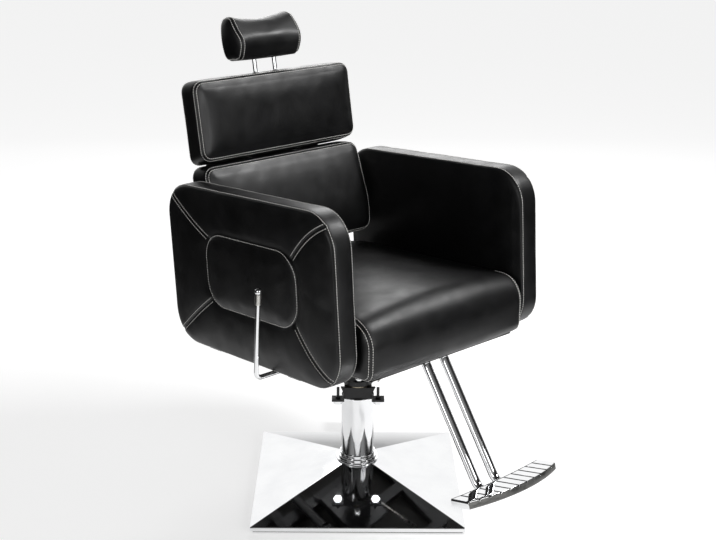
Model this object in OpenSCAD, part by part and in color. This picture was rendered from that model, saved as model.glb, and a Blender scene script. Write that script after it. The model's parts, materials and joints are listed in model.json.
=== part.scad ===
/* [Base] */
// Side of the square foot, measured over the rim
base_side = 457; // [420:1:520]
// Height of the upright rim round the foot
base_rim = 14; // [10:1:20]
// Height at which the four sloping facets would meet
base_apex = 73; // [60:1:85]
// Sheet thickness of the polished cover
cover_wall = 3; // [2:0.5:4]
// Height of the rubber strip that the foot stands on
rubber_h = 4; // [3:1:6]
// Angle that the foot is turned to the seat when the chair faces forward
base_turn = -41.1; // [-60:0.1:60]

/* [Column] */
// Radius of the polished sleeve over the pump
sleeve_r = 36.7; // [34:0.1:40]
// Wall of the sleeve
sleeve_wall = 3; // [2:0.5:3.5]
// Height of the top of the sleeve with the pump down
sleeve_top = 221; // [203:1:263]
// Height of the lower end of the sleeve with the pump down
sleeve_foot = 20; // [18:1:30]
// Radius of the pump cylinder inside the sleeve
pump_r = 31; // [28:0.5:32]
// How far the top of the pump cylinder lies below the top of the sleeve
pump_short = 22; // [18:1:40]
// Radius of the ram
ram_r = 20; // [16:0.5:22]
// Widest radius of the stepped collar
collar_r = 46.5; // [44:0.5:55]
// Height of the top of the collar
collar_top = 84; // [80:1:95]

/* [Pump head] */
// Width and depth of the head block
head_w = 60.6; // [56:0.2:66]
// Height of the head block
head_h = 27; // [26:1:40]
// Width of each steel ear beside the block
bar_w = 27.5; // [24:0.5:32]
// Length of each steel ear
bar_len = 24; // [23:1:32]
// Thickness of each steel ear
bar_t = 5; // [4:0.5:7]
// Radius of the swivel spindle
spindle_r = 17; // [14:0.5:20]

/* [Seat] */
// Angle that the seat and arms lean back
seat_tilt = 4.6; // [3:0.1:7]
// Half the distance between the side seams of the seat cushion
seat_seam = 212; // [200:1:214]
// Distance from the swivel axis to the front of the seat cushion
seat_front = 322; // [310:1:330]
// Distance from the swivel axis to the back of the seat cushion
seat_back = 205; // [195:1:208]
// Height of the underside of the seat board above the saddle
seat_board_rise = 61; // [55:1:75]
// Height of the underside of the seat cushion above the underside of its board
seat_rise = 6; // [4:1:10]
// Height of the side seams on top of the seat cushion above its underside
seat_side_h = 120; // [107:1:132]
// How far the middle of the seat cushion stands above its seams
seat_crown = 16; // [8:1:20]

/* [Arms] */
// Distance from the middle of the chair to the inner seam of an arm
arm_inner = 235.9; // [235:0.1:245]
// Distance between the two seams of an arm
arm_t = 45.9; // [40:0.1:55]
// Distance from the swivel axis to the front of the arms
arm_front = 297; // [285:1:305]
// Distance from the swivel axis to the back of the arms
arm_back = 248; // [240:1:260]
// How far the arms reach below the underside of the seat board
arm_drop = 2; // [0:1:6]
// Height of an arm
arm_h = 346; // [320:1:360]
// Radius of the corners of the arms
arm_corner = 70; // [50:1:90]
// Length of the raised panel on each arm
panel_len = 312; // [280:1:330]
// Height of the raised panel on each arm
panel_h = 170; // [150:1:190]
// Distance that the middle of the panel lies ahead of the swivel axis
panel_ahead = 41; // [20:1:60]
// Height of the middle of the panel above the underside of the arm
panel_up = 181; // [170:1:190]

/* [Back] */
// Angle that the back leans from upright
back_lean = 10; // [6:0.5:14]
// Distance from the swivel axis to the recline hinge, along the seat
hinge_u = 232; // [228:1:240]
// Height of the recline hinge above the underside of the seat board
hinge_rise = 33; // [28:1:40]
// Angle that the back reclines
recline = 45; // [20:1:45]
// Half the distance between the side seams of the back pads
back_seam = 214; // [200:1:216]
// Height of the lower edge of the lower pad above the hinge
lower_low = 112; // [108:1:120]
// Height of the lower pad
lower_h = 215; // [206:1:216]
// Gap between the two pads
pad_gap = 7; // [6:1:17]
// Height of the upper pad
upper_h = 178; // [166:1:196]
// Radius of the hinge pins
hinge_pin_r = 6; // [5:0.5:8]

/* [Headrest] */
// Half the distance between the end seams of the headrest
head_seam = 72; // [65:1:85]
// Gap between the upper pad and the headrest
head_gap = 36; // [33:1:48]
// Height of the headrest at its seams
head_pad_h = 93; // [82:1:102]
// Half the distance between the two posts
post_x = 27.5; // [24:0.5:35]
// Radius of the posts
post_r = 4.8; // [4:0.1:6]
// Distance that the headrest slides down from where it stands
head_down = 25; // [10:1:30]

/* [Footrest] */
// Half the distance between the two tubes
tube_x = 25.5; // [22:0.5:40]
// Radius of the tubes
tube_r = 9.5; // [8:0.5:12]
// Wall of the tubes
tube_wall = 2; // [1.5:0.5:3]
// Angle of the tubes below level
tube_drop = 54.3; // [50:0.1:58]
// Half the width of the footplate
plate_x = 128; // [110:1:140]
// Depth of the footplate at its middle
plate_depth = 67.5; // [60:0.5:75]
// Thickness of the footplate with its ribs
plate_t = 16; // [13:0.5:20]
// Slope of the footplate
plate_slope = 15; // [10:0.5:20]
// Distance between the ribs of the footplate
rib_pitch = 23.3; // [18:0.1:26]

/* [Recline lever] */
// Distance from the middle of the chair to the lever
lever_x = 320; // [312:1:330]
// Radius of the lever rod
lever_r = 5; // [4:0.5:6]
// Height of the ball on the lever above its cross bar
lever_len = 189; // [164:1:204]
// Radius of the ball on the lever
lever_ball_r = 7.5; // [7:0.5:12]

/* [Recline strut] */
// Distance from the middle of the chair to the gas strut
strut_x = 90; // [80:1:100]
// Radius of the strut cylinder
strut_r = 11; // [9:0.5:12]
// Radius of the strut rod
strut_rod_r = 5; // [4:0.5:6]
// Distance from the recline hinge to the rear strut pin
crank_r = 60; // [55:1:62]

/* [Foot pedal] */
// Distance from the column axis to the pedal's pivot
pedal_pivot = 62; // [58:1:66]
// Distance from the column axis to the outer end of the pedal
pedal_reach = 300; // [280:1:310]
// Width of the pedal pad
pedal_w = 60; // [40:1:68]

/* [Hidden] */
$fn = 64;
// Overrun of every cut past the face that it opens
cut = 1;
// Clearance all round a shaft that turns or slides in its bore
run = 0.05;
// Clearance round a bolt in its hole
slack = 0.1;
// Gap between a soft part and a part of another body
soft_gap = 0.3;
// Sides of a pad's outline at each rounded corner
corner_steps = 6;
// Sides of a hexagon
hex = 6;
// Facets of a shallow arc of large radius
fine = 360;

// Point given along and square to the seat, as distance back and height
function seat_pt(u, w) = [u * cos(seat_tilt) + w * sin(seat_tilt), w * cos(seat_tilt) - u * sin(seat_tilt)];

// Pads
// How far a side panel of the seat cushion swells past its seam
seat_side = 16;
seat_top_corner = 52;
seat_corner = 20;
seat_rear_corner = 22;
// How far the front of the seat cushion draws in towards its underside
seat_draw = 10;
seat_front_crown = 6;
arm_outer_swell = 9;
arm_inner_swell = 5;
arm_crown = 3;
panel_corner = 38;
// Where the back of the raised panel lies beyond the arm's outer seam, and how far it stands out
panel_base = 4.5;
panel_rise = 4;
panel_swell = 6;
back_side = 6;
upper_crown = 11;
lower_crown = 9;
pad_rear = 12;
upper_front = 62;
lower_front_top = 62;
lower_front_mid = 90;
lower_front_low = 84;
// How far the fullest place, and then the lowest front corner, of the lower pad lie above its lower edge
lower_mid_up = 73;
lower_front_up = 16;
// How far the front of the upper pad stops short of its lower edge
upper_front_up = 11;
head_back = 4;
head_front = 76;
head_front_up = 37;
head_swell = 20;
head_saddle = 9;
head_hollow = 5;
head_top_front = 40;
head_low_front = 56;
head_top_corner = 20;
head_front_corner = 30;
head_low_corner = 18;

// Boards
board_t = 12;
seat_board_inset = 28;
arm_board_t = 24;
arm_board_inset = 42;
back_board_inset = 16;

// Seat frame
rail = 25;
rail_wall = 2;
rail_x = 150;
rail_front = -180;
rail_rear = 247;
cross_at = [-168, -32, 70];
pedestal_h = 43;
saddle_t = 6;
saddle_x = 50;
saddle_front = -60;
saddle_rear = 75;
riser_t = 5;
riser_foot_front = -45;
riser_foot_rear = 72;
bracket_t = 5;
bracket_w = 40;
bracket_at = [-150, 120];
bracket_reach = arm_inner + arm_t - bracket_t;

// Pump
pump_flange_r = 60;
pump_flange_h = 8;
pump_floor = 8;
pump_bore_r = 23;
gland_h = 30;
piston_h = 12;
ram_foot = 20;
guide_h = 12;
collar_h = 26;
collar_step = 3.5;
collar_ring_h = 8;
collar_gap = 0.5;
base_bolt_r = 5;
base_bolt_at = 50;
pedestal_left = 8;
pedestal_right = 33;
pedestal_deep = 25;
head_plug_h = 12;
washer_t = 2.5;
washer_r = 30;
turntable_r = 33;
turntable_h = 11.5;
spindle_len = 26;
spindle_foot_gap = 2;
head_bolt_r = 3.2;
head_nut_r = 11;
head_nut_h = 8;
lock_nut_r = 5.5;
lock_nut_h = 3;
bar_over = 15;
stud_over = 3;
nut_h = 6.5;
nut_r = 7.5;
gusset_w = 8;
gusset_h = 18;
gusset_t = 6;
gusset_at = 27;
cap_nut_r = 8;
cap_nut_len = 9;
cap_nut_rise = 10;
cap_nut_x = 2;

// Fasteners
screw_r = 3;
screw_head_r = 5.5;
screw_head_h = 3;
screw_len = 14;

// Hinge
hinge_plate_t = 8;
hinge_eye_r = 15;
upright_x = 148;
upright_t = 8;
upright_d = 25;
hinge_gap = 2.5;
hinge_head_r = 9;
hinge_head_t = 3;
back_bar_r = 10;
back_bar_at = [60, 330];

// Headrest
post_y = -33;
guide_r = 7.5;
guide_len = 110;
guide_plate_t = 3;
head_core_d = 18;
head_core_w = 110;
head_core_h = 40;
head_core_up = 12;

// Footrest: where the tubes cross a level below the seat board, and where the rear of the plate lies from there
tube_ahead = 276;
tube_under = 48;
plate_ahead = 148;
plate_under = 143;
tube_bend_r = 40;
foot_flange_t = 4;
foot_flange_x = 60;
foot_flange_front = -285;
foot_flange_rear = -225;
tube_run_in = 50;
// Sides of a tube, and steps of its bend
tube_sides = 32;
tube_bends = 10;
clamp_edge = 6;
clamp_at = [-40, -12];
plate_edge = 1.5;
rib_h = 3.5;
rib_gap = 3;
plate_bow = 27;
plate_hollow = 8;

// Lever
lever_ahead = 52;
lever_under = 6;
lever_lean = 4;
lever_bend_r = 14;
lever_sleeve_r = 6.9;
lever_sleeve_h = 22;
finger_w = 12;
finger_len = 58;
finger_top = 8;

// Strut
strut_under = 60;
eye_w = 12;
eye_r = 11;
strut_pin_r = 4;
// Clearance round the rear strut pin, which takes up the rise and fall of the crank
crank_slack = 3;
crank_rise = 2.3;
fork_gap = 1;
fork_t = 5;
pin_over = 2;
strut_body = 190;
strut_neck = 4;
strut_nose = 21;
strut_dip = 60;
valve_r = 2.5;
valve_len = 2;
strut_bore_end = 60;

// Pedal
pedal_pivot_z = 40;
lug_near = 42;
pedal_arm_w = 12;
pedal_arm_h = 10;
pedal_pin_r = 5;
pedal_lug_t = 6;
pedal_lug_gap = 1;
pedal_rise = 26;
pedal_pad_len = 46;
pedal_pad_t = 8;
slot_w = 18;
slot_near = 78;
slot_far = 206;
weight_gap = 0.5;
pedal_pocket_w = 40;

// Swivel rod seen beside the pump head, in the turned frame of the foot
stay_r = 1.8;
stay_beside = 44;
stay_ahead = 6;
stay_rise = 2.5;
stay_slope = 0.786;

// Heights, each worked out from what carries it
collar_low = collar_top - collar_h;
pump_top = sleeve_top - pump_short;
pedal_tip_z = pedal_pivot_z + pedal_rise;
head_top = sleeve_top + head_h;
stud_top = head_top + stud_over;
bar_front = head_w / 2 + bar_over;
turn_z = head_top + washer_t;
cap_nut_z = turn_z + turntable_h + cap_nut_rise;
stay_low = [stay_beside, -stay_ahead, turn_z + stay_rise];
saddle_z = turn_z + turntable_h + pedestal_h;
seat_board_w = saddle_z + saddle_t + seat_board_rise;
frame_w = seat_board_w - rail;
foot_flange_w = seat_board_w - foot_flange_t;
seat_low = seat_board_w + seat_rise;
seat_high = seat_low + seat_side_h;
arm_low = seat_board_w - arm_drop;
arm_high = arm_low + arm_h;
panel_mid = arm_low + panel_up;
hinge_w = seat_board_w + hinge_rise;
hinge_at = seat_pt(hinge_u, hinge_w);
lever_bar = [-lever_ahead, seat_board_w - lever_under];
strut_at = [0, seat_board_w - strut_under];
tube_through = [-tube_ahead, seat_board_w - tube_under];
plate_rear = tube_through - [plate_ahead, plate_under];
// Heights above the recline hinge
lower_high = lower_low + lower_h;
upper_low = lower_high + pad_gap;
upper_high = upper_low + upper_h;
head_low = upper_high + head_gap;
head_high = head_low + head_pad_h;
head_core_at = head_low + head_core_up;

// Shared shapes

// Carries what follows into the frame of the seat, which leans back
module on_seat() {
    rotate([-seat_tilt, 0, 0]) children();
}

// Carries what follows into the frame of the back, whose origin is the recline hinge
module on_back() {
    translate([0, hinge_at[0], hinge_at[1]]) rotate([-back_lean, 0, 0]) children();
}

// Carries what follows into the frame of the foot
module on_base() {
    rotate([0, 0, base_turn]) children();
}

// Plate that stands upright along the chair, from its side view
module side_plate(x, t) {
    translate([x - t / 2, 0, 0]) rotate([90, 0, 90]) linear_extrude(t) children();
}

// Round bar across the chair
module cross_bar(x_from, x_to, y, z, r) {
    translate([x_from, y, z]) rotate([0, 90, 0]) cylinder(r = r, h = x_to - x_from);
}

// Straight slot-ended strip between two points of a side view
module strip(a, b, r) {
    translate(a) circle(r);
    translate(b) circle(r);
    translate(a) rotate(atan2(b[1] - a[1], b[0] - a[0])) translate([0, -r]) square([norm(b - a), 2 * r]);
}

// Block given by its lowest and highest corners
module block(lo, hi) {
    translate(lo) cube(hi - lo);
}

// Outline of a polygon whose corners, each given as place and radius, are rounded
function rounded(c) = [for (i = [0 : len(c) - 1]) let (
        p = [c[i][0], c[i][1]],
        q = c[(i + len(c) - 1) % len(c)],
        s = c[(i + 1) % len(c)],
        a = [q[0], q[1]] - p,
        b = [s[0], s[1]] - p,
        ua = a / norm(a),
        ub = b / norm(b),
        half = acos(ua * ub) / 2,
        m = (ua + ub) / norm(ua + ub),
        centre = p + m * c[i][2] / sin(half),
        from = p + ua * c[i][2] / tan(half) - centre,
        to = p + ub * c[i][2] / tan(half) - centre,
        turn = atan2(from[0] * to[1] - from[1] * to[0], from * to)
    ) for (k = [0 : corner_steps]) let (t = turn * k / corner_steps)
        centre + [from[0] * cos(t) - from[1] * sin(t), from[0] * sin(t) + from[1] * cos(t)]];

// Middle of an outline's box, and half of that box
function low_of(o, k) = min([for (p = o) p[k]]);
function high_of(o, k) = max([for (p = o) p[k]]);
function middle(o) = [(low_of(o, 0) + high_of(o, 0)) / 2, (low_of(o, 1) + high_of(o, 1)) / 2];
function half_box(o) = [(high_of(o, 0) - low_of(o, 0)) / 2, (high_of(o, 1) - low_of(o, 1)) / 2];

// One ring of a pad: its outline at x, drawn in to the share s and crowned by the share k.
// The crown lists how far the front, the rear, the underside and the top stand out.
function pad_ring(o, x, s, k, crown) = let (m = middle(o), h = half_box(o)) [for (p = o) let (
        d = p - m,
        out_y = d[0] < 0 ? crown[0] : crown[1],
        out_z = d[1] < 0 ? crown[2] : crown[3]
    ) [x, m[0] + s * d[0] + k * out_y * d[0] / h[0], m[1] + s * d[1] + k * out_z * d[1] / h[1]]];

// Shares of the outline at which the rings of an end panel lie, and of the half width for the body's rings
end_shares = [0.3, 0.58, 0.8, 0.93];
body_shares = [1, 0.8, 0.5, 0.17];

// Rings of a pad from end to end. A panel swells by lo_swell beyond lo, and by hi_swell beyond hi.
function pad_rings(o, lo, hi, lo_swell, hi_swell, crown) = let (c = (lo + hi) / 2, w = (hi - lo) / 2) concat(
    [for (s = end_shares) pad_ring(o, lo - lo_swell * (1 - s * s * s), s, 0, crown)],
    [for (b = body_shares) pad_ring(o, c - b * w, 1, 1 - b * b, crown)],
    [for (i = [len(body_shares) - 1 : -1 : 0]) let (b = body_shares[i]) pad_ring(o, c + b * w, 1, 1 - b * b, crown)],
    [for (i = [len(end_shares) - 1 : -1 : 0]) let (s = end_shares[i])
        pad_ring(o, hi + hi_swell * (1 - s * s * s), s, 0, crown)]
);

// Closed skin over the rings of a pad, with a point at the middle of each end
module pad(o, lo, hi, lo_swell, hi_swell, crown) {
    rings = pad_rings(o, lo, hi, lo_swell, hi_swell, crown);
    n = len(o);
    m = middle(o);
    last = len(rings) - 1;
    points = concat([for (r = rings) each r], [[lo - lo_swell, m[0], m[1]], [hi + hi_swell, m[0], m[1]]]);
    faces = concat(
        [for (i = [0 : last - 1], j = [0 : n - 1]) [i * n + j, (i + 1) * n + j, (i + 1) * n + (j + 1) % n]],
        [for (i = [0 : last - 1], j = [0 : n - 1]) [i * n + j, (i + 1) * n + (j + 1) % n, i * n + (j + 1) % n]],
        [for (j = [0 : n - 1]) [(last + 1) * n, j, (j + 1) % n]],
        [for (j = [0 : n - 1]) [(last + 1) * n + 1, last * n + (j + 1) % n, last * n + j]]
    );
    polyhedron(points, faces);
}

// Countersunk screws at a list of places, heads down, in the frame of the caller
module screws_up(places) {
    for (p = places) translate(p) {
        translate([0, 0, -screw_head_h]) cylinder(r = screw_head_r, h = screw_head_h);
        cylinder(r = screw_r, h = screw_len);
    }
}

// Foot

// Square block with a low pyramid on it, given by its side, its two heights and its underside
module pyramid(side, rim_top, apex, foot) {
    h = side / 2;
    polyhedron(
        [[-h, -h, foot], [h, -h, foot], [h, h, foot], [-h, h, foot],
            [-h, -h, rim_top], [h, -h, rim_top], [h, h, rim_top], [-h, h, rim_top], [0, 0, apex]],
        [[0, 1, 2, 3], [0, 4, 5, 1], [1, 5, 6, 2], [2, 6, 7, 3], [3, 7, 4, 0],
            [4, 8, 5], [5, 8, 6], [6, 8, 7], [7, 8, 4]]
    );
}

// Slot for the pedal arm, as wide as w, from near the column to its end in the rear facet
module pedal_slot(w, near) {
    block([-w / 2, near, rubber_h - cut], [w / 2, slot_far, base_apex]);
}

module base_cover() {
    color("silver") on_base() difference() {
        pyramid(base_side, base_rim, base_apex, rubber_h);
        pyramid(base_side - 2 * cover_wall, base_rim - cover_wall, base_apex - cover_wall, rubber_h - cut);
        cylinder(r = sleeve_r + collar_gap, h = base_apex + cut);
        pedal_slot(slot_w, slot_near);
    }
}

module base_weight() {
    inner = base_side - 2 * cover_wall - 2 * weight_gap;
    drop = cover_wall + weight_gap;
    color("dimgray") on_base() difference() {
        pyramid(inner, base_rim - drop, base_apex - drop, rubber_h);
        translate([0, 0, pump_floor]) cylinder(r = pump_flange_r + slack, h = base_apex);
        pedal_slot(pedal_pocket_w, 0);
        base_bolt_places() translate([0, 0, -cut]) cylinder(r = base_bolt_r + slack, h = base_apex);
    }
}

module base_rubber() {
    h = base_side / 2;
    color("black") on_base() block([-h, -h, 0], [h, h, rubber_h]);
}

module base_collar() {
    color("silver") on_base() difference() {
        for (i = [0 : 2]) translate([0, 0, collar_low])
            cylinder(r = collar_r - i * collar_step, h = collar_h - (2 - i) * collar_ring_h);
        translate([0, 0, collar_low - cut]) cylinder(r = sleeve_r + collar_gap, h = collar_h + 2 * cut);
        pyramid(base_side, base_rim, base_apex, rubber_h);
    }
}

// The four bolts that hold the pump to the foot
module base_bolt_places() {
    for (a = [45 : 90 : 315]) rotate([0, 0, a]) translate([base_bolt_at, 0, 0]) children();
}

module base_bolts() {
    color("gray") on_base() base_bolt_places() {
        translate([0, 0, rubber_h]) cylinder(r = base_bolt_r, h = pump_floor + pump_flange_h - rubber_h);
        translate([0, 0, pump_floor + pump_flange_h]) cylinder(r = nut_r, h = nut_h, $fn = hex);
    }
}

// Distance of the two lugs that carry the pedal from the middle of its arm
lug_from = pedal_arm_w / 2 + pedal_lug_gap;

module pump_body() {
    lug_top = pedal_pivot_z + 2 * pedal_pin_r;
    color("dimgray") on_base() difference() {
        union() {
            translate([0, 0, pump_floor]) cylinder(r = pump_flange_r, h = pump_flange_h);
            translate([0, 0, pump_floor]) cylinder(r = pump_r, h = pump_top - pump_floor);
            for (s = [-1, 1]) side_plate(s * (lug_from + pedal_lug_t / 2), pedal_lug_t) difference() {
                union() {
                    translate([lug_near, pump_floor]) square([pedal_pivot - lug_near, lug_top - pump_floor]);
                    translate([pedal_pivot, pedal_pivot_z]) circle(2 * pedal_pin_r);
                }
                translate([pedal_pivot, pedal_pivot_z]) circle(pedal_pin_r + run);
            }
        }
        translate([0, 0, pump_floor + pump_flange_h]) cylinder(r = pump_bore_r, h = pump_top);
        base_bolt_places() cylinder(r = base_bolt_r + slack, h = pedal_pivot_z);
    }
}

module pump_gland() {
    color("goldenrod") translate([0, 0, pump_top - gland_h]) difference() {
        cylinder(r = pump_bore_r, h = gland_h);
        translate([0, 0, -cut]) cylinder(r = ram_r + run, h = gland_h + 2 * cut);
    }
}

// Pedal

module pedal_pin() {
    reach = lug_from + pedal_lug_t + pin_over;
    color("silver") on_base() cross_bar(-reach, reach, pedal_pivot, pedal_pivot_z, pedal_pin_r);
}

module pedal_arm() {
    boss = 2 * pedal_pin_r;
    color("silver") on_base() side_plate(0, pedal_arm_w) difference() {
        union() {
            strip([pedal_pivot, pedal_pivot_z], [pedal_reach - pedal_arm_h, pedal_tip_z], pedal_arm_h / 2);
            translate([pedal_pivot, pedal_pivot_z]) circle(boss);
        }
        translate([pedal_pivot, pedal_pivot_z]) circle(pedal_pin_r + run);
    }
}

module pedal_pad() {
    back = pedal_reach - pedal_pad_len;
    rise = atan2(pedal_tip_z - pedal_pivot_z, pedal_reach - pedal_arm_h - pedal_pivot);
    color("black") on_base() difference() {
        translate([0, pedal_pivot, pedal_pivot_z]) rotate([rise, 0, 0]) translate([0, -pedal_pivot, 0])
            block([-pedal_w / 2, back, -pedal_pad_t], [pedal_w / 2, pedal_reach + pedal_pad_t, pedal_pad_t]);
        side_plate(0, pedal_arm_w)
            strip([pedal_pivot, pedal_pivot_z], [pedal_reach - pedal_arm_h, pedal_tip_z], pedal_arm_h / 2);
    }
}

// Lifting column

module ram() {
    color("silver") {
        translate([0, 0, ram_foot]) cylinder(r = pump_bore_r - run, h = piston_h);
        translate([0, 0, ram_foot]) cylinder(r = ram_r, h = sleeve_top - head_plug_h - ram_foot);
    }
}

module column_sleeve() {
    color("silver") translate([0, 0, sleeve_foot]) difference() {
        cylinder(r = sleeve_r, h = sleeve_top - sleeve_foot);
        translate([0, 0, -cut]) cylinder(r = sleeve_r - sleeve_wall, h = sleeve_top);
    }
}

module sleeve_guide() {
    color("ivory") translate([0, 0, sleeve_foot]) difference() {
        cylinder(r = sleeve_r - sleeve_wall, h = guide_h);
        translate([0, 0, -cut]) cylinder(r = pump_r + run, h = guide_h + 2 * cut);
    }
}

module ram_head() {
    w = head_w / 2;
    color("black") on_base() difference() {
        union() {
            translate([0, 0, sleeve_top - head_plug_h]) cylinder(r = sleeve_r - sleeve_wall, h = head_plug_h);
            block([-w, -w, sleeve_top], [w, w, head_top]);
            for (s = [0, 1]) mirror([s, 0, 0])
                translate([0, gusset_t - gusset_at, head_top - gusset_h]) rotate([90, 0, 0])
                    linear_extrude(gusset_t) polygon([[w - cut, 0], [w, 0], [w + gusset_w, gusset_h], [w - cut, gusset_h]]);
        }
        translate([0, 0, head_top - spindle_len + washer_t - spindle_foot_gap])
            cylinder(r = spindle_r + run, h = head_h);
    }
}

// Places of the bolts through the ears beside the head
module head_bolt_places() {
    x = (head_w + bar_w) / 2;
    for (sx = [-1, 1]) translate([sx * x, bar_len / 2 - bar_front, 0]) children();
}

module head_bars() {
    color("black") on_base() difference() {
        for (s = [0, 1]) mirror([s, 0, 0])
            block([head_w / 2, -bar_front, sleeve_top],
                  [head_w / 2 + bar_w, bar_len - bar_front, sleeve_top + bar_t]);
        head_bolt_places() cylinder(r = head_bolt_r + slack, h = head_top);
    }
}

module head_bolts() {
    color("silver") on_base() head_bolt_places() {
        translate([0, 0, sleeve_top - head_nut_h]) cylinder(r = head_bolt_r, h = stud_top - sleeve_top + head_nut_h);
        translate([0, 0, sleeve_top - head_nut_h]) cylinder(r = head_nut_r, h = head_nut_h, $fn = hex);
        translate([0, 0, sleeve_top + bar_t]) cylinder(r = lock_nut_r, h = lock_nut_h, $fn = hex);
    }
}

module thrust_washer() {
    color("goldenrod") translate([0, 0, head_top]) difference() {
        cylinder(r = washer_r, h = washer_t);
        translate([0, 0, -cut]) cylinder(r = spindle_r + slack, h = washer_t + 2 * cut);
    }
}

// Swivel head

module swivel_spindle() {
    color("black") {
        translate([0, 0, turn_z - spindle_len]) cylinder(r = spindle_r, h = spindle_len);
        translate([0, 0, turn_z]) cylinder(r = turntable_r, h = turntable_h);
    }
}

module pedestal() {
    color("black") on_base() block([-pedestal_left, -pedestal_deep, turn_z + turntable_h],
        [pedestal_right, pedestal_deep, saddle_z]);
}

module cap_nut() {
    color("silver") on_base() translate([cap_nut_x, -pedestal_deep, cap_nut_z]) rotate([90, 0, 0]) {
        cylinder(r = cap_nut_r, h = cap_nut_len);
        translate([0, 0, cap_nut_len]) sphere(cap_nut_r);
    }
}

module stay_rod() {
    rise = seat_board_w - stay_low[2];
    top = [stay_low[0] + stay_slope * rise, stay_low[1], seat_board_w];
    color("silver") difference() {
        on_base() translate(stay_low) rotate([0, atan(stay_slope), 0])
            cylinder(r = stay_r, h = norm(top - stay_low) + seat_board_w - saddle_z);
        on_seat() block([-seat_front, -seat_front, seat_board_w], [seat_front, seat_front, arm_high]);
    }
}

module saddle() {
    color("dimgray") {
        block([-saddle_x, saddle_front, saddle_z], [saddle_x, saddle_rear, saddle_z + saddle_t]);
        for (s = [-1, 1]) side_plate(s * (saddle_x - riser_t), riser_t) polygon([
            [riser_foot_front, saddle_z + saddle_t],
            [riser_foot_rear, saddle_z + saddle_t],
            seat_pt(cross_at[2] + rail / 2, frame_w),
            seat_pt(cross_at[1] - rail / 2, frame_w)
        ]);
    }
}

// Seat frame

module rail_tube(side) {
    x = side * rail_x;
    on_seat() difference() {
        block([x - rail / 2, rail_front, frame_w], [x + rail / 2, rail_rear, seat_board_w]);
        block([x - rail / 2 + rail_wall, rail_front - cut, frame_w + rail_wall],
            [x + rail / 2 - rail_wall, rail_rear + cut, seat_board_w - rail_wall]);
    }
}

module rail_left() {
    color("dimgray") rail_tube(1);
}

module rail_right() {
    color("dimgray") difference() {
        rail_tube(-1);
        cross_bar(-rail_x - rail, -rail_x + rail, lever_bar[0], lever_bar[1], lever_r + run);
    }
}

module frame_tubes() {
    x = rail_x - rail / 2;
    color("dimgray") on_seat() for (u = cross_at) difference() {
        block([-x, u - rail / 2, frame_w], [x, u + rail / 2, seat_board_w]);
        block([-x - cut, u - rail / 2 + rail_wall, frame_w + rail_wall],
            [x + cut, u + rail / 2 - rail_wall, seat_board_w - rail_wall]);
    }
}

// Screws that hold the arms, then those that hold the footrest, in the frame of the seat
arm_screws = [for (s = [-1, 1], u = bracket_at) [s * (arm_inner + arm_t / 2), u, arm_low - bracket_t]];
foot_screw_x = foot_flange_x - 2 * screw_head_r;
foot_screw_u = [foot_flange_front + 2 * screw_head_r, foot_flange_rear - 2 * screw_head_r];
foot_screws = [for (s = [-1, 1], u = foot_screw_u) [s * foot_screw_x, u, foot_flange_w]];

// Round holes for screws at a list of places
module screw_holes(places, r) {
    for (p = places) translate(p - [0, 0, screw_head_h]) cylinder(r = r, h = screw_len + screw_head_h);
}

module arm_brackets() {
    color("dimgray") on_seat() difference() {
        for (s = [0, 1], u = bracket_at) mirror([s, 0, 0]) block(
            [rail_x + rail / 2, u - bracket_w / 2, arm_low - bracket_t],
            [bracket_reach, u + bracket_w / 2, arm_low]
        );
        screw_holes(arm_screws, screw_r + slack);
    }
}

module seat_screws() {
    color("gray") on_seat() {
        screws_up(arm_screws);
        screws_up(foot_screws);
    }
}

// Seat

seat_outline = rounded([
    [-seat_front, seat_high, seat_top_corner],
    [seat_draw - seat_front, seat_low, seat_corner],
    [seat_back, seat_low, seat_corner],
    [seat_back, seat_high, seat_rear_corner]
]);

// Space of the seat board, which is let into the underside of the cushion
module board_space() {
    x = seat_seam - board_t;
    block([-x, seat_board_inset - seat_front, seat_board_w], [x, seat_back - board_t / 2, seat_board_w + board_t]);
}

module seat_board() {
    color("burlywood") on_seat() difference() {
        board_space();
        screw_holes(foot_screws, screw_r);
    }
}

module seat_cushion() {
    color("black") on_seat() difference() {
        pad(seat_outline, -seat_seam, seat_seam, seat_side, seat_side, [seat_front_crown, 0, 0, seat_crown]);
        board_space();
    }
}

// Arms

arm_outline = rounded([
    [-arm_front, arm_high, arm_corner],
    [-arm_front, arm_low, arm_corner],
    [arm_back, arm_low, arm_corner],
    [arm_back, arm_high, arm_corner]
]);
panel_outline = let (
        front = -panel_ahead - panel_len / 2,
        rear = panel_len / 2 - panel_ahead,
        low = panel_mid - panel_h / 2,
        high = panel_mid + panel_h / 2
    ) rounded([for (c = [[front, high], [front, low], [rear, low], [rear, high]]) [c[0], c[1], panel_corner]]);
arm_mid = arm_inner + arm_t / 2;
panel_x = arm_inner + arm_t + panel_base;

// Wooden core of an arm, whose lower edge takes the screws
module arm_core() {
    side_plate(arm_mid, arm_board_t) polygon(rounded([
        [arm_board_inset - arm_front, arm_high - arm_board_inset, arm_corner - arm_board_inset / 2],
        [arm_board_inset - arm_front + arm_corner / 2, arm_low, board_t],
        [arm_back - arm_board_inset - arm_corner / 2, arm_low, board_t],
        [arm_back - arm_board_inset, arm_high - arm_board_inset, arm_corner - arm_board_inset / 2]
    ]));
}

module arm_board() {
    color("burlywood") on_seat() difference() {
        arm_core();
        screw_holes(arm_screws, screw_r);
    }
}

module arm_pad() {
    color("black") on_seat() difference() {
        pad(arm_outline, arm_inner, arm_inner + arm_t, arm_inner_swell, arm_outer_swell, [arm_crown, arm_crown, 0, arm_crown]);
        arm_core();
        translate([panel_x, 0, 0]) rotate([90, 0, 90]) linear_extrude(arm_t) polygon(panel_outline);
    }
}

module arm_panel() {
    color("black") on_seat()
        pad(panel_outline, panel_x, panel_x + panel_rise, 0, panel_swell, [0, 0, 0, 0]);
}

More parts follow.
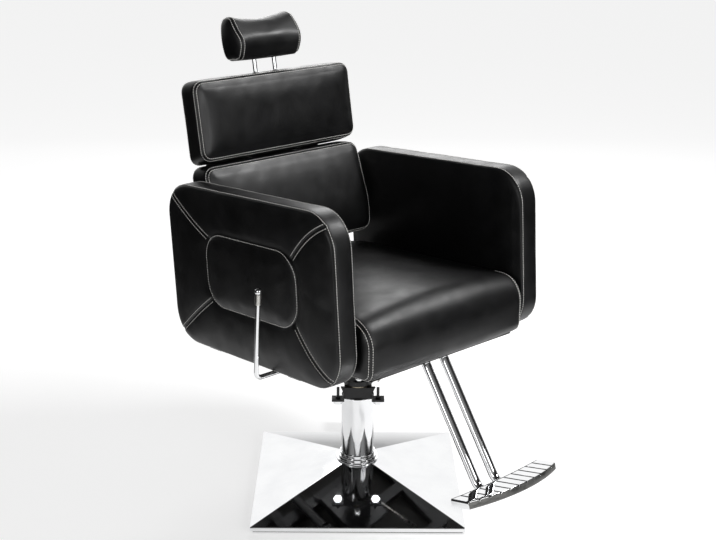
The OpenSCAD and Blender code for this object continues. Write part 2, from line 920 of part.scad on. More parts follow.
module arm_board_left() { arm_board(); }
module arm_board_right() { mirror([1, 0, 0]) arm_board(); }
module arm_pad_left() { arm_pad(); }
module arm_pad_right() { mirror([1, 0, 0]) arm_pad(); }
module arm_panel_left() { arm_panel(); }
module arm_panel_right() { mirror([1, 0, 0]) arm_panel(); }

// Recline hinge

hinge_plate_x = upright_x + (upright_t + hinge_plate_t) / 2 + hinge_gap;

module hinge_plates() {
    color("dimgray") on_seat() for (s = [-1, 1]) side_plate(s * hinge_plate_x, hinge_plate_t) difference() {
        union() {
            translate([hinge_u, hinge_w]) circle(hinge_eye_r);
            polygon([
                [hinge_u - hinge_eye_r, seat_board_w],
                [rail_rear, seat_board_w],
                [hinge_u + hinge_eye_r, hinge_w],
                [hinge_u - hinge_eye_r, hinge_w]
            ]);
        }
        translate([hinge_u, hinge_w]) circle(hinge_pin_r + run);
    }
}

module hinge_pins() {
    inner = upright_x - upright_t / 2 - soft_gap;
    outer = hinge_plate_x + hinge_plate_t / 2;
    color("silver") for (s = [0, 1]) mirror([s, 0, 0]) {
        cross_bar(inner - hinge_head_t, outer + hinge_head_t, hinge_at[0], hinge_at[1], hinge_pin_r);
        cross_bar(inner - hinge_head_t, inner, hinge_at[0], hinge_at[1], hinge_head_r);
        cross_bar(outer, outer + hinge_head_t, hinge_at[0], hinge_at[1], hinge_head_r);
    }
}

// Footrest

// Carries what follows to the rear edge of the footplate's top, sloping up to the front
module on_plate() {
    translate([0, plate_rear[0], plate_rear[1]]) rotate([-plate_slope, 0, 0]) children();
}

drop_way = [-cos(tube_drop), -sin(tube_drop)];
plate_way = [-cos(plate_slope), sin(plate_slope)];
plate_up = [sin(plate_slope), cos(plate_slope)];
under_plate = plate_rear - plate_up * (plate_t + tube_r);
// Where the two straight lines of a tube would meet
tube_meet = let (
        d = under_plate - tube_through,
        det = drop_way[0] * -plate_way[1] + plate_way[0] * drop_way[1],
        s = (d[0] * -plate_way[1] + plate_way[0] * d[1]) / det
    ) tube_through + drop_way * s;
tube_turn = tube_drop + plate_slope;
tube_tangent = tube_bend_r * tan(tube_turn / 2);
bend_centre = tube_meet - drop_way * tube_tangent + [-sin(tube_drop), cos(tube_drop)] * tube_bend_r;
// One ring round a tube's wall at radius r, at the angle turn of the bend and slid by s along the tube
function tube_ring(x, r, turn, s) = [for (k = [0 : tube_sides - 1]) let (
        a = 360 * k / tube_sides,
        out = tube_bend_r + r * cos(a),
        lean = turn - 90 - plate_slope
    ) [x + r * sin(a), bend_centre[0] + out * cos(lean) - s * sin(lean), bend_centre[1] + out * sin(lean) + s * cos(lean)]];

// The same ring carried up along the tube to the underside of the flange
function tube_end_ring(x, r) = [for (p = tube_ring(x, r, tube_turn, 0)) let (
        s = (foot_flange_w - p[1] * sin(seat_tilt) - p[2] * cos(seat_tilt)) / sin(tube_drop + seat_tilt)
    ) [p[0], p[1] - s * drop_way[0], p[2] - s * drop_way[1]]];

// Rings of a tube from under the footplate, round the bend and up to the flange
function tube_rings(x, r) = concat(
    [tube_ring(x, r, 0, -tube_run_in)],
    [for (i = [0 : tube_bends]) tube_ring(x, r, tube_turn * i / tube_bends, 0)],
    [tube_end_ring(x, r)]
);

// Closed skin of one tube: its outer rings one way, then its inner rings the other way
module bent_tube(x) {
    outer = tube_rings(x, tube_r);
    inner = tube_rings(x, tube_r - tube_wall);
    last = len(outer) - 1;
    rings = concat(outer, [for (i = [last : -1 : 0]) inner[i]]);
    n = tube_sides;
    faces = [for (i = [0 : len(rings) - 1], j = [0 : n - 1]) let (
            a = i * n,
            b = (i + 1) % len(rings) * n,
            k = (j + 1) % n
        ) each [[a + j, b + k, b + j], [a + j, a + k, b + k]]];
    polyhedron([for (r = rings) each r], faces);
}

module footrest_tubes() {
    color("silver") for (s = [-1, 1]) bent_tube(s * tube_x);
}

// Block welded between the tubes and the footplate
module plate_clamp() {
    x = tube_x + tube_r + clamp_edge;
    color("silver") on_plate() difference() {
        block([-x, clamp_at[0], -plate_t - tube_r], [x, clamp_at[1], -plate_t]);
        for (s = [-1, 1]) translate([s * tube_x, clamp_at[0] - cut, -plate_t - tube_r])
            rotate([-90, 0, 0]) cylinder(r = tube_r, h = clamp_at[1] - clamp_at[0] + 2 * cut);
    }
}

module footrest_flange() {
    color("silver") on_seat() difference() {
        block([-foot_flange_x, foot_flange_front, foot_flange_w], [foot_flange_x, foot_flange_rear, seat_board_w]);
        screw_holes(foot_screws, screw_r + slack);
    }
}

// Outline of the footplate from above, drawn in all round by e
module plate_outline(e) {
    $fn = fine;
    front_r = (plate_x * plate_x + plate_bow * plate_bow) / (2 * plate_bow);
    rear_r = (plate_x * plate_x + plate_hollow * plate_hollow) / (2 * plate_hollow);
    difference() {
        intersection() {
            translate([0, front_r - plate_depth]) circle(front_r - e);
            translate([e - plate_x, -plate_depth]) square([2 * (plate_x - e), plate_depth + plate_hollow]);
        }
        translate([0, rear_r]) circle(rear_r + e);
    }
}

module footplate() {
    count = floor((plate_x - plate_edge) / rib_pitch);
    rib_w = rib_pitch - rib_gap;
    color("silver") on_plate() {
        translate([0, 0, -plate_t]) linear_extrude(plate_t - rib_h) plate_outline(0);
        for (i = [-count : count]) intersection() {
            translate([0, 0, -rib_h - cut]) linear_extrude(rib_h + cut) plate_outline(plate_edge);
            translate([i * rib_pitch - rib_w / 2, -plate_depth, -rib_h - cut])
                cube([rib_w, plate_depth + plate_hollow, rib_h + cut]);
        }
    }
}

// Recline strut

// Rear strut pin, from the hinge, with the chair upright
crank_angle = recline / 2;
crank_at = hinge_at + crank_r * [sin(crank_angle), -cos(crank_angle)];
strut_to = crank_at - [0, crank_rise];
strut_len = norm(strut_to - strut_at);
strut_angle = atan2(strut_to[1] - strut_at[1], strut_to[0] - strut_at[0]);
fork_x = eye_w / 2 + fork_gap + fork_t / 2;

// Carries what follows to the front strut pin, with the strut along the second axis
module on_strut() {
    translate([-strut_x, strut_at[0], strut_at[1]]) rotate([strut_angle, 0, 0]) children();
}

// Round bar along the strut
module strut_bar(from, to, r) {
    translate([0, from, 0]) rotate([-90, 0, 0]) cylinder(r = r, h = to - from);
}

module strut_bracket() {
    top_front = seat_pt(cross_at[1] - rail / 2, frame_w);
    top_rear = seat_pt(cross_at[1] + rail / 2, frame_w);
    color("dimgray") for (s = [-1, 1]) side_plate(s * fork_x - strut_x, fork_t) difference() {
        union() {
            translate(strut_at) circle(eye_r);
            polygon([top_front, strut_at - [eye_r, 0], strut_at + [eye_r, 0], top_rear]);
        }
        translate(strut_at) circle(strut_pin_r + run);
    }
}

module strut_pin() {
    reach = fork_x + fork_t / 2 + pin_over;
    color("silver") cross_bar(-strut_x - reach, -strut_x + reach, strut_at[0], strut_at[1], strut_pin_r);
}

module strut_cylinder() {
    color("black") on_strut() difference() {
        union() {
            cross_bar(-eye_w / 2, eye_w / 2, 0, 0, eye_r);
            strut_bar(eye_r + strut_neck, strut_body, strut_r);
            strut_bar(-strut_nose, eye_r + strut_neck + cut, eye_w / 2);
            strut_bar(-strut_nose - valve_len, 0, valve_r);
        }
        cross_bar(-eye_w, eye_w, 0, 0, strut_pin_r + run);
        strut_bar(strut_bore_end, strut_body + cut, strut_rod_r + run);
    }
}

module strut_rod() {
    hole = strut_pin_r + crank_slack;
    color("silver") on_strut() difference() {
        union() {
            strut_bar(strut_body - strut_dip, strut_len - hole, strut_rod_r);
            cross_bar(-eye_w / 2, eye_w / 2, strut_len, 0, eye_r);
        }
        cross_bar(-eye_w, eye_w, strut_len, 0, hole);
    }
}

// Recline lever

// Carries what follows to the axis of the lever's cross bar, leaning forward with the handle
module on_lever() {
    translate([0, lever_bar[0], lever_bar[1]]) rotate([lever_lean, 0, 0]) children();
}

lever_ball_h = lever_len / cos(lever_lean);

module lever_handle(h) {
    translate([-lever_x, 0, lever_bend_r]) cylinder(r = lever_r, h = h - lever_bend_r);
}

module lever_rod() {
    color("silver") {
        on_lever() {
            cross_bar(lever_bend_r - lever_x, -strut_x, 0, 0, lever_r);
            translate([lever_bend_r - lever_x, 0, lever_bend_r]) rotate([90, 0, 0]) rotate([0, 0, 180])
                rotate_extrude(angle = 90) translate([lever_bend_r, 0]) circle(lever_r);
            lever_handle(lever_ball_h);
        }
        translate([-strut_x, lever_bar[0], lever_bar[1]])
            block([-finger_w / 2, -finger_w / 2, -finger_len], [finger_w / 2, finger_w / 2, finger_top]);
    }
}

module lever_sleeve() {
    top = lever_ball_h - sqrt(lever_ball_r * lever_ball_r - lever_r * lever_r);
    color("gray") on_lever() difference() {
        translate([-lever_x, 0, top - lever_sleeve_h]) cylinder(r = lever_sleeve_r, h = lever_sleeve_h);
        lever_handle(lever_ball_h);
        translate([-lever_x, 0, lever_ball_h]) sphere(lever_ball_r);
    }
}

module lever_ball() {
    color("silver") on_lever() difference() {
        translate([-lever_x, 0, lever_ball_h]) sphere(lever_ball_r);
        lever_handle(lever_ball_h);
    }
}

// Back

upright_flange_w = 32;
upright_flange_t = 4;
lower_board_z = [lower_low + board_t, lower_high - board_t];
upper_board_z = [upper_low + board_t, upper_high - board_t];
back_screw_x = upright_x + upright_t / 2 + screw_head_r * 2;
back_screw_z = [for (b = [lower_board_z, upper_board_z], e = [0, 1]) b[e] + (1 - 2 * e) * 3 * screw_head_r];

// Places of the screws that hold the boards to the uprights, in the frame of the back
module back_screw_places() {
    for (s = [-1, 1], z = back_screw_z)
        translate([s * back_screw_x, upright_flange_t, z]) rotate([90, 0, 0]) children();
}

module back_frame() {
    reach = upright_x - upright_t / 2;
    crank_local = crank_r * [sin(crank_angle + back_lean), -cos(crank_angle + back_lean)];
    color("black") on_back() difference() {
        union() {
            for (s = [0, 1]) mirror([s, 0, 0]) {
                side_plate(upright_x, upright_t) {
                    circle(hinge_eye_r);
                    square([upright_d, upper_board_z[1]]);
                }
                for (b = [lower_board_z, upper_board_z]) block([upright_x - upright_t / 2, 0, b[0]],
                    [upright_x + upright_flange_w, upright_flange_t, b[1]]);
            }
            for (z = back_bar_at) cross_bar(-reach - cut, reach + cut, upright_d / 2, z, back_bar_r);
            for (s = [-1, 1]) side_plate(s * fork_x - strut_x, fork_t)
                strip([upright_d / 2, back_bar_at[0]], crank_local, eye_r);
        }
        cross_bar(-upright_x - upright_t, upright_x + upright_t, 0, 0, hinge_pin_r + run);
        cross_bar(-strut_x - eye_w - fork_t, -strut_x + eye_w + fork_t, crank_local[0], crank_local[1],
            strut_pin_r + run);
        back_screw_places() translate([0, 0, -cut]) cylinder(r = screw_r + slack, h = screw_len);
    }
}

module crank_pin() {
    reach = fork_x + fork_t / 2 + pin_over;
    color("silver") cross_bar(-strut_x - reach, -strut_x + reach, crank_at[0], crank_at[1], strut_pin_r);
}

module back_screws() {
    color("gray") on_back() back_screw_places() {
        translate([0, 0, -screw_head_h]) cylinder(r = screw_head_r, h = screw_head_h);
        cylinder(r = screw_r, h = screw_len);
    }
}

// Plywood board behind a pad, between two heights
module back_board(z) {
    color("burlywood") on_back() difference() {
        block([back_board_inset - back_seam, -board_t, z[0]], [back_seam - back_board_inset, 0, z[1]]);
        back_screw_places() cylinder(r = screw_r, h = screw_len);
    }
}

module lower_board() { back_board(lower_board_z); }
module upper_board() { back_board(upper_board_z); }

pad_corner = 14;
lower_outline = rounded([
    [-lower_front_top, lower_high, pad_corner],
    [-lower_front_mid, lower_low + lower_mid_up, 4 * pad_corner],
    [-lower_front_low, lower_low + lower_front_up, 2 * pad_corner],
    [-pad_rear, lower_low, pad_corner / 2],
    [-pad_rear, lower_high, pad_corner]
]);
upper_outline = rounded([
    [-upper_front, upper_high, pad_corner],
    [-upper_front, upper_low + upper_front_up, pad_corner],
    [-pad_rear, upper_low, pad_corner],
    [-pad_rear, upper_high, pad_corner]
]);

module lower_pad() {
    color("black") on_back()
        pad(lower_outline, -back_seam, back_seam, back_side, back_side, [lower_crown, 0, 0, 0]);
}

guide_foot = upper_high - guide_len;
guide_lip = 2;

// Tubes and web of the headrest guides without their bores
module guide_solid(e) {
    for (s = [-1, 1]) {
        translate([s * post_x, post_y, guide_foot - e]) cylinder(r = guide_r, h = guide_len + guide_lip + e);
        block([s * post_x - guide_plate_t, post_y, guide_foot - e],
            [s * post_x + guide_plate_t, -board_t, upper_high - 2 * guide_r]);
    }
}

module upper_pad() {
    color("black") on_back() difference() {
        pad(upper_outline, -back_seam, back_seam, back_side, back_side, [upper_crown, 0, 0, 0]);
        guide_solid(cut);
    }
}

// Headrest

module headrest_guides() {
    color("black") on_back() difference() {
        guide_solid(0);
        for (s = [-1, 1]) translate([s * post_x, post_y, guide_foot - cut])
            cylinder(r = post_r + run, h = guide_len + guide_lip + 2 * cut);
    }
}

post_foot = guide_foot + head_down + guide_lip;
post_head = head_core_at + head_core_h / 2;

module post_bars(r) {
    for (s = [-1, 1]) translate([s * post_x, post_y, post_foot]) cylinder(r = r, h = post_head - post_foot);
}

module headrest_posts() {
    color("silver") on_back() post_bars(post_r);
}

module core_block() {
    block([-head_core_w / 2, post_y - head_core_d / 2, head_core_at - board_t],
        [head_core_w / 2, post_y + head_core_d / 2, head_core_at + head_core_h]);
}

module headrest_core() {
    color("burlywood") on_back() difference() {
        core_block();
        post_bars(post_r);
    }
}

head_outline = rounded([
    [-head_top_front, head_high, head_top_corner],
    [-head_front, head_low + head_front_up, head_front_corner],
    [-head_low_front, head_low, head_low_corner],
    [head_back, head_low, head_low_corner],
    [head_back, head_high, head_top_corner]
]);

module headrest_cushion() {
    color("black") on_back() difference() {
        pad(head_outline, -head_seam, head_seam, head_swell, head_swell, [-head_hollow, 0, 0, -head_saddle]);
        core_block();
    }
}

base_cover();
base_weight();
base_rubber();
base_collar();
pump_body();
pump_gland();
base_bolts();
pedal_pin();
pedal_arm();
pedal_pad();
ram();
column_sleeve();
sleeve_guide();
ram_head();
head_bars();
head_bolts();
thrust_washer();
swivel_spindle();
pedestal();
cap_nut();
stay_rod();
saddle();
rail_left();
rail_right();
frame_tubes();
arm_brackets();
seat_board();
seat_cushion();
seat_screws();
arm_board_left();
arm_board_right();
arm_pad_left();
arm_pad_right();
arm_panel_left();
arm_panel_right();
hinge_plates();
hinge_pins();
footrest_flange();
footrest_tubes();
footplate();
plate_clamp();
strut_bracket();
strut_pin();
strut_cylinder();
strut_rod();
lever_rod();
lever_sleeve();
lever_ball();
back_frame();
crank_pin();
lower_board();
lower_pad();
upper_board();
upper_pad();
back_screws();
headrest_guides();
headrest_posts();
headrest_core();
headrest_cushion();
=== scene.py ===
"""Barber chair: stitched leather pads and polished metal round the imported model.

Metres, +Z up, the seat facing -Y.
"""
import json
import math

import bmesh
import bpy
import numpy as np
from mathutils import Matrix, Vector


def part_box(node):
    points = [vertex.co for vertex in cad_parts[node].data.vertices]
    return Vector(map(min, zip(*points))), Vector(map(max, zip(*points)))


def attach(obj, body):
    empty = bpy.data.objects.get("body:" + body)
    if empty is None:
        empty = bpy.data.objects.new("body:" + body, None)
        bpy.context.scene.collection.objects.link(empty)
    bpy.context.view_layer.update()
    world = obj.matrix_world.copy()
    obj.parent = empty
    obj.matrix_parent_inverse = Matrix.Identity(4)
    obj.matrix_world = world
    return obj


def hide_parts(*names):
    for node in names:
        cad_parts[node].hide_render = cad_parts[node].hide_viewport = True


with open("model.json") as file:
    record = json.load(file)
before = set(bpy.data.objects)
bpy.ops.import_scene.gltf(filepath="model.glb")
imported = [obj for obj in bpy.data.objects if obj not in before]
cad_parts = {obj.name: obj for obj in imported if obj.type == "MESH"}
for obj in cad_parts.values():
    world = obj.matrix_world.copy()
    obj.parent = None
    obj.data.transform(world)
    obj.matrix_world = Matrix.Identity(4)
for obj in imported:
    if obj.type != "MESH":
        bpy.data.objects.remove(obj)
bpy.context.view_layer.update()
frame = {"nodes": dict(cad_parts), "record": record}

MM = 0.001

# Local frames of the seat and of the back, which lean

SEAT_TILT = math.radians(4.6)
BACK_LEAN = math.radians(10)
pin_low, pin_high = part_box("hinge_pins")
SEAT = Matrix.Rotation(-SEAT_TILT, 4, "X")
BACK = Matrix.Translation((pin_low + pin_high) / 2) @ Matrix.Rotation(-BACK_LEAN, 4, "X")


def local_box(node, place):
    """Lowest and highest corners of a node in a local frame."""
    inverse = place.inverted()
    points = np.array([inverse @ v.co for v in frame["nodes"][node].data.vertices])
    return points.min(0), points.max(0)


# Camera

CAMERA_AT = (-1.6969, -1.9059, 1.3814)
CAMERA_YAW = math.radians(41.63)
CAMERA_PITCH = math.radians(18.81)
CAMERA_ROLL = math.radians(0.51)
CAMERA_LENS = 62.84


def add_camera():
    forward = Vector((math.sin(CAMERA_YAW) * math.cos(CAMERA_PITCH),
                      math.cos(CAMERA_YAW) * math.cos(CAMERA_PITCH), -math.sin(CAMERA_PITCH)))
    level = Vector((math.cos(CAMERA_YAW), -math.sin(CAMERA_YAW), 0))
    upward = level.cross(forward)
    right = math.cos(CAMERA_ROLL) * level + math.sin(CAMERA_ROLL) * upward
    up = math.cos(CAMERA_ROLL) * upward - math.sin(CAMERA_ROLL) * level
    data = bpy.data.cameras.new("camera")
    data.lens = CAMERA_LENS
    data.sensor_width = 36
    data.clip_end = 50
    camera = bpy.data.objects.new("camera", data)
    turn = Matrix((right, up, -forward)).transposed().to_4x4()
    camera.matrix_world = Matrix.Translation(CAMERA_AT) @ turn
    bpy.context.scene.collection.objects.link(camera)
    bpy.context.scene.camera = camera


# Materials

def new_material(name, colour, roughness, metallic=0.0, level=0.5):
    """A material with its shader, and short calls to add and join nodes."""
    material = bpy.data.materials.new(name)
    material.use_nodes = True
    tree = material.node_tree
    shader = tree.nodes["Principled BSDF"]
    shader.inputs["Base Color"].default_value = (*colour, 1)
    shader.inputs["Roughness"].default_value = roughness
    shader.inputs["Metallic"].default_value = metallic
    shader.inputs["Specular IOR Level"].default_value = level
    return material, tree, shader


def pattern(tree, kind, scale, stretch=(1, 1, 1), **values):
    """A texture node on the piece's own coordinates, stretched along its axes."""
    place = tree.nodes.new("ShaderNodeTexCoord")
    mapping = tree.nodes.new("ShaderNodeMapping")
    mapping.inputs["Scale"].default_value = stretch
    texture = tree.nodes.new(kind)
    texture.inputs["Scale"].default_value = scale
    for name, value in values.items():
        texture.inputs[name].default_value = value
    tree.links.new(place.outputs["Object"], mapping.inputs["Vector"])
    tree.links.new(mapping.outputs["Vector"], texture.inputs["Vector"])
    return texture


def spread(tree, source, low, high, target, from_low=0.3, from_high=0.7):
    """Carries a pattern's value into a shader input, between two levels."""
    levels = tree.nodes.new("ShaderNodeMapRange")
    levels.inputs["From Min"].default_value = from_low
    levels.inputs["From Max"].default_value = from_high
    levels.inputs["To Min"].default_value = low
    levels.inputs["To Max"].default_value = high
    tree.links.new(source, levels.inputs["Value"])
    tree.links.new(levels.outputs["Result"], target)


def tint(tree, source, dark, light, target, low=0.35, high=0.65):
    """Colours a pattern between two tones."""
    ramp = tree.nodes.new("ShaderNodeValToRGB")
    ramp.color_ramp.elements[0].position = low
    ramp.color_ramp.elements[0].color = (*dark, 1)
    ramp.color_ramp.elements[1].position = high
    ramp.color_ramp.elements[1].color = (*light, 1)
    tree.links.new(source, ramp.inputs["Fac"])
    tree.links.new(ramp.outputs["Color"], target)


def relief(tree, shader, source, strength, height, after=None):
    """Raises a pattern as fine relief, on top of an earlier one if there is one."""
    bump = tree.nodes.new("ShaderNodeBump")
    bump.inputs["Strength"].default_value = strength
    bump.inputs["Distance"].default_value = height
    tree.links.new(source, bump.inputs["Height"])
    if after is not None:
        tree.links.new(after.outputs["Normal"], bump.inputs["Normal"])
    tree.links.new(bump.outputs["Normal"], shader.inputs["Normal"])
    return bump


def leather():
    """Black upholstery leather with a fine pebbled grain and soft creases."""
    material, tree, shader = new_material("black_leather_grain", (0.0028, 0.0028, 0.0031), 0.42, level=0.55)
    tone = pattern(tree, "ShaderNodeTexNoise", 9, Detail=4.0)
    colour = shader.inputs["Base Color"]
    tint(tree, tone.outputs["Fac"], (0.002, 0.002, 0.0022), (0.0038, 0.0038, 0.0044), colour)
    worn = pattern(tree, "ShaderNodeTexNoise", 26, Detail=5.0)
    spread(tree, worn.outputs["Fac"], 0.36, 0.48, shader.inputs["Roughness"])
    sag = pattern(tree, "ShaderNodeTexNoise", 11, (1, 0.7, 0.7), Detail=2.0)
    broad = relief(tree, shader, sag.outputs["Fac"], 0.5, 2.5 * MM)
    creases = pattern(tree, "ShaderNodeTexNoise", 42, (1, 1, 1), Detail=6.0, Roughness=0.55)
    fine = relief(tree, shader, creases.outputs["Fac"], 0.3, 0.6 * MM, broad)
    grain = pattern(tree, "ShaderNodeTexVoronoi", 620)
    relief(tree, shader, grain.outputs["Distance"], 0.15, 0.12 * MM, fine)
    return material


def thread():
    """Pale waxed thread with its twist."""
    material, tree, shader = new_material("pale_thread", (0.84, 0.83, 0.8), 0.6, level=0.3)
    fibre = pattern(tree, "ShaderNodeTexNoise", 900, Detail=2.0)
    tint(tree, fibre.outputs["Fac"], (0.76, 0.75, 0.72), (0.9, 0.89, 0.86), shader.inputs["Base Color"])
    relief(tree, shader, fibre.outputs["Fac"], 0.3, 0.1 * MM)
    return material


def chrome():
    """Mirror chrome with the faintest haze and waviness of polished sheet."""
    material, tree, shader = new_material("mirror_chrome_plate", (0.8, 0.805, 0.815), 0.04, 1.0)
    haze = pattern(tree, "ShaderNodeTexNoise", 14, Detail=4.0)
    spread(tree, haze.outputs["Fac"], 0.03, 0.07, shader.inputs["Roughness"])
    tint(tree, haze.outputs["Fac"], (0.77, 0.775, 0.785), (0.82, 0.825, 0.83), shader.inputs["Base Color"])
    wave = pattern(tree, "ShaderNodeTexNoise", 5, Detail=1.0)
    relief(tree, shader, wave.outputs["Fac"], 0.05, 1.5 * MM)
    return material


def satin():
    """Satin steel with fine drawn lines."""
    material, tree, shader = new_material("satin_steel_drawn", (0.6, 0.59, 0.56), 0.3, 1.0)
    lines = pattern(tree, "ShaderNodeTexNoise", 240, (1, 1, 0.08), Detail=3.0)
    spread(tree, lines.outputs["Fac"], 0.2, 0.38, shader.inputs["Roughness"])
    tint(tree, lines.outputs["Fac"], (0.52, 0.51, 0.48), (0.7, 0.69, 0.66), shader.inputs["Base Color"])
    relief(tree, shader, lines.outputs["Fac"], 0.1, 0.05 * MM)
    return material


def painted(name, dark, light, roughness, scale, height):
    """Painted, cast or moulded surface with the fine unevenness of its coat."""
    material, tree, shader = new_material(name, light, roughness, level=0.4)
    coat = pattern(tree, "ShaderNodeTexNoise", scale, Detail=4.0)
    tint(tree, coat.outputs["Fac"], dark, light, shader.inputs["Base Color"])
    spread(tree, coat.outputs["Fac"], roughness - 0.06, roughness + 0.08, shader.inputs["Roughness"])
    relief(tree, shader, coat.outputs["Fac"], 0.3, height)
    return material


def brass():
    material, tree, shader = new_material("bearing_brass_turned", (0.4, 0.35, 0.26), 0.34, 1.0)
    marks = pattern(tree, "ShaderNodeTexNoise", 160, (1, 1, 6), Detail=3.0)
    tint(tree, marks.outputs["Fac"], (0.3, 0.26, 0.19), (0.46, 0.4, 0.3), shader.inputs["Base Color"])
    spread(tree, marks.outputs["Fac"], 0.22, 0.4, shader.inputs["Roughness"])
    return material


def plywood():
    """Birch plywood, stained dark on the faces that show under the seat."""
    material, tree, shader = new_material("plywood_dark_stain", (0.01, 0.009, 0.008), 0.55, level=0.2)
    plies = pattern(tree, "ShaderNodeTexWave", 60, (1, 1, 1), Distortion=6.0, Detail=3.0)
    colour = shader.inputs["Base Color"]
    tint(tree, plies.outputs["Fac"], (0.006, 0.0055, 0.005), (0.013, 0.012, 0.011), colour, 0, 1)
    relief(tree, shader, plies.outputs["Fac"], 0.2, 0.2 * MM)
    return material


def edge_metal():
    """Dull cast edge of the footplate, scuffed by shoes."""
    material, tree, shader = new_material("footplate_edge_dull", (0.18, 0.18, 0.175), 0.55, 1.0)
    scuffs = pattern(tree, "ShaderNodeTexNoise", 90, (0.3, 1, 2), Detail=5.0)
    tint(tree, scuffs.outputs["Fac"], (0.13, 0.13, 0.125), (0.24, 0.238, 0.23), shader.inputs["Base Color"])
    spread(tree, scuffs.outputs["Fac"], 0.45, 0.65, shader.inputs["Roughness"])
    relief(tree, shader, scuffs.outputs["Fac"], 0.2, 0.1 * MM)
    return material


LEATHER = leather()
EDGE_METAL = edge_metal()
THREAD = thread()
CHROME = chrome()
# Darkest and lightest tone of each coat, its roughness, how fine it is and how high it stands
COATS = {
    "black_steel": ((0.005, 0.005, 0.0055), (0.01, 0.01, 0.011), 0.34, 160, 0.1 * MM),
    "grey_iron": ((0.014, 0.014, 0.015), (0.03, 0.03, 0.033), 0.5, 220, 0.25 * MM),
    "black_rubber": ((0.012, 0.012, 0.012), (0.024, 0.024, 0.025), 0.62, 300, 0.2 * MM),
    "guide_plastic": ((0.5, 0.48, 0.42), (0.62, 0.6, 0.54), 0.45, 90, 0.1 * MM),
}
FINISHES = {
    "mirror_chrome": CHROME,
    "satin_steel": satin(),
    "bearing_brass": brass(),
    "plywood": plywood(),
    "black_leather": LEATHER,
    **{slot: painted(slot + "_coat", *coat) for slot, coat in COATS.items()},
}


def finish_nodes():
    """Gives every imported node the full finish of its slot."""
    for node in frame["nodes"].values():
        for place in node.material_slots:
            place.material = FINISHES[place.material.name.split(".")[0]]


# Outlines

ARC_STEPS = 16


def rounded_path(corners):
    """Closed path round corners (p, q, radius): its points, lengths, and length at each arc's middle."""
    count = len(corners)
    points = []
    middles = []
    for i, (p, q, radius) in enumerate(corners):
        here = np.array((p, q))
        before = np.array(corners[i - 1][:2]) - here
        after = np.array(corners[(i + 1) % count][:2]) - here
        before /= np.linalg.norm(before)
        after /= np.linalg.norm(after)
        half = math.acos(before @ after) / 2
        bisector = (before + after) / np.linalg.norm(before + after)
        centre = here + bisector * radius / math.sin(half)
        start = here + before * radius / math.tan(half) - centre
        end = here + after * radius / math.tan(half) - centre
        turn = math.atan2(start[0] * end[1] - start[1] * end[0], start @ end)
        for k in range(ARC_STEPS + 1):
            t = turn * k / ARC_STEPS
            points.append(centre + (start[0] * math.cos(t) - start[1] * math.sin(t),
                                    start[0] * math.sin(t) + start[1] * math.cos(t)))
        middles.append(len(points) - 1 - ARC_STEPS // 2)
    points = np.array(points)
    closed = np.vstack([points, points[:1]])
    along = np.concatenate([[0], np.cumsum(np.linalg.norm(np.diff(closed, axis=0), axis=1))])
    return closed, along, along[middles]


def path_at(path, lengths):
    """Points of a closed path at lengths along it."""
    closed, along, _ = path
    lengths = np.mod(lengths, along[-1])
    return np.stack([np.interp(lengths, along, closed[:, k]) for k in range(2)], 1)


def section(start, end, count, narrow=()):
    """Lengths from start up to end, without end, with narrow steps at both ends."""
    if not narrow:
        return np.linspace(start, end, count, endpoint=False)
    body = np.linspace(start + narrow[-1], end - narrow[-1], count - 2 * len(narrow) + 1)
    near = [start + n for n in narrow[:-1]]
    far = [end - n for n in reversed(narrow[:-1])]
    return np.concatenate([[start], near, body, far])


def loop_points(corners, counts, patch=(0, 1, 2, 3), narrow=()):
    """Closed ring of points in four stretches, each from the middle of one corner to the next."""
    path = rounded_path(corners)
    total = path[1][-1]
    marks = [path[2][c] for c in patch]
    lengths = []
    for i in range(4):
        start = marks[i]
        end = marks[(i + 1) % 4]
        end = end if end > start else end + total
        lengths.append(section(start, end, counts[i % 2], narrow))
    return path_at(path, np.concatenate(lengths))


def inward(ring):
    """Unit normals of a closed ring of points, towards its inside."""
    tangent = np.roll(ring, -1, 0) - np.roll(ring, 1, 0)
    tangent /= np.linalg.norm(tangent, axis=1)[:, None]
    area = np.sum(ring[:, 0] * np.roll(ring[:, 1], -1) - np.roll(ring[:, 0], -1) * ring[:, 1])
    return math.copysign(1, area) * np.stack([-tangent[:, 1], tangent[:, 0]], 1)


def distance_to(points, line):
    """Distance of each point from a polyline."""
    best = np.full(len(points), np.inf)
    for a, b in zip(line[:-1], line[1:]):
        along = b - a
        share = np.clip(((points - a) @ along) / max(along @ along, 1e-12), 0, 1)
        best = np.minimum(best, np.linalg.norm(points - a - share[:, None] * along, axis=1))
    return best


def plump(distance, width, height):
    """Height of leather beside a seam, rising like a quarter round over the width."""
    share = np.clip(distance / width, 0, 1)
    return height * np.sqrt(share * (2 - share))


def dip(distance, width, depth):
    """Depth of the soft valley that a row of stitches pulls into leather."""
    return -depth * np.exp(-(distance / width) ** 2)


# Pads

SEAM_OFFSETS = (1.0 * MM, 2.4 * MM, 5 * MM, 9 * MM, 14 * MM)
ROW = 2


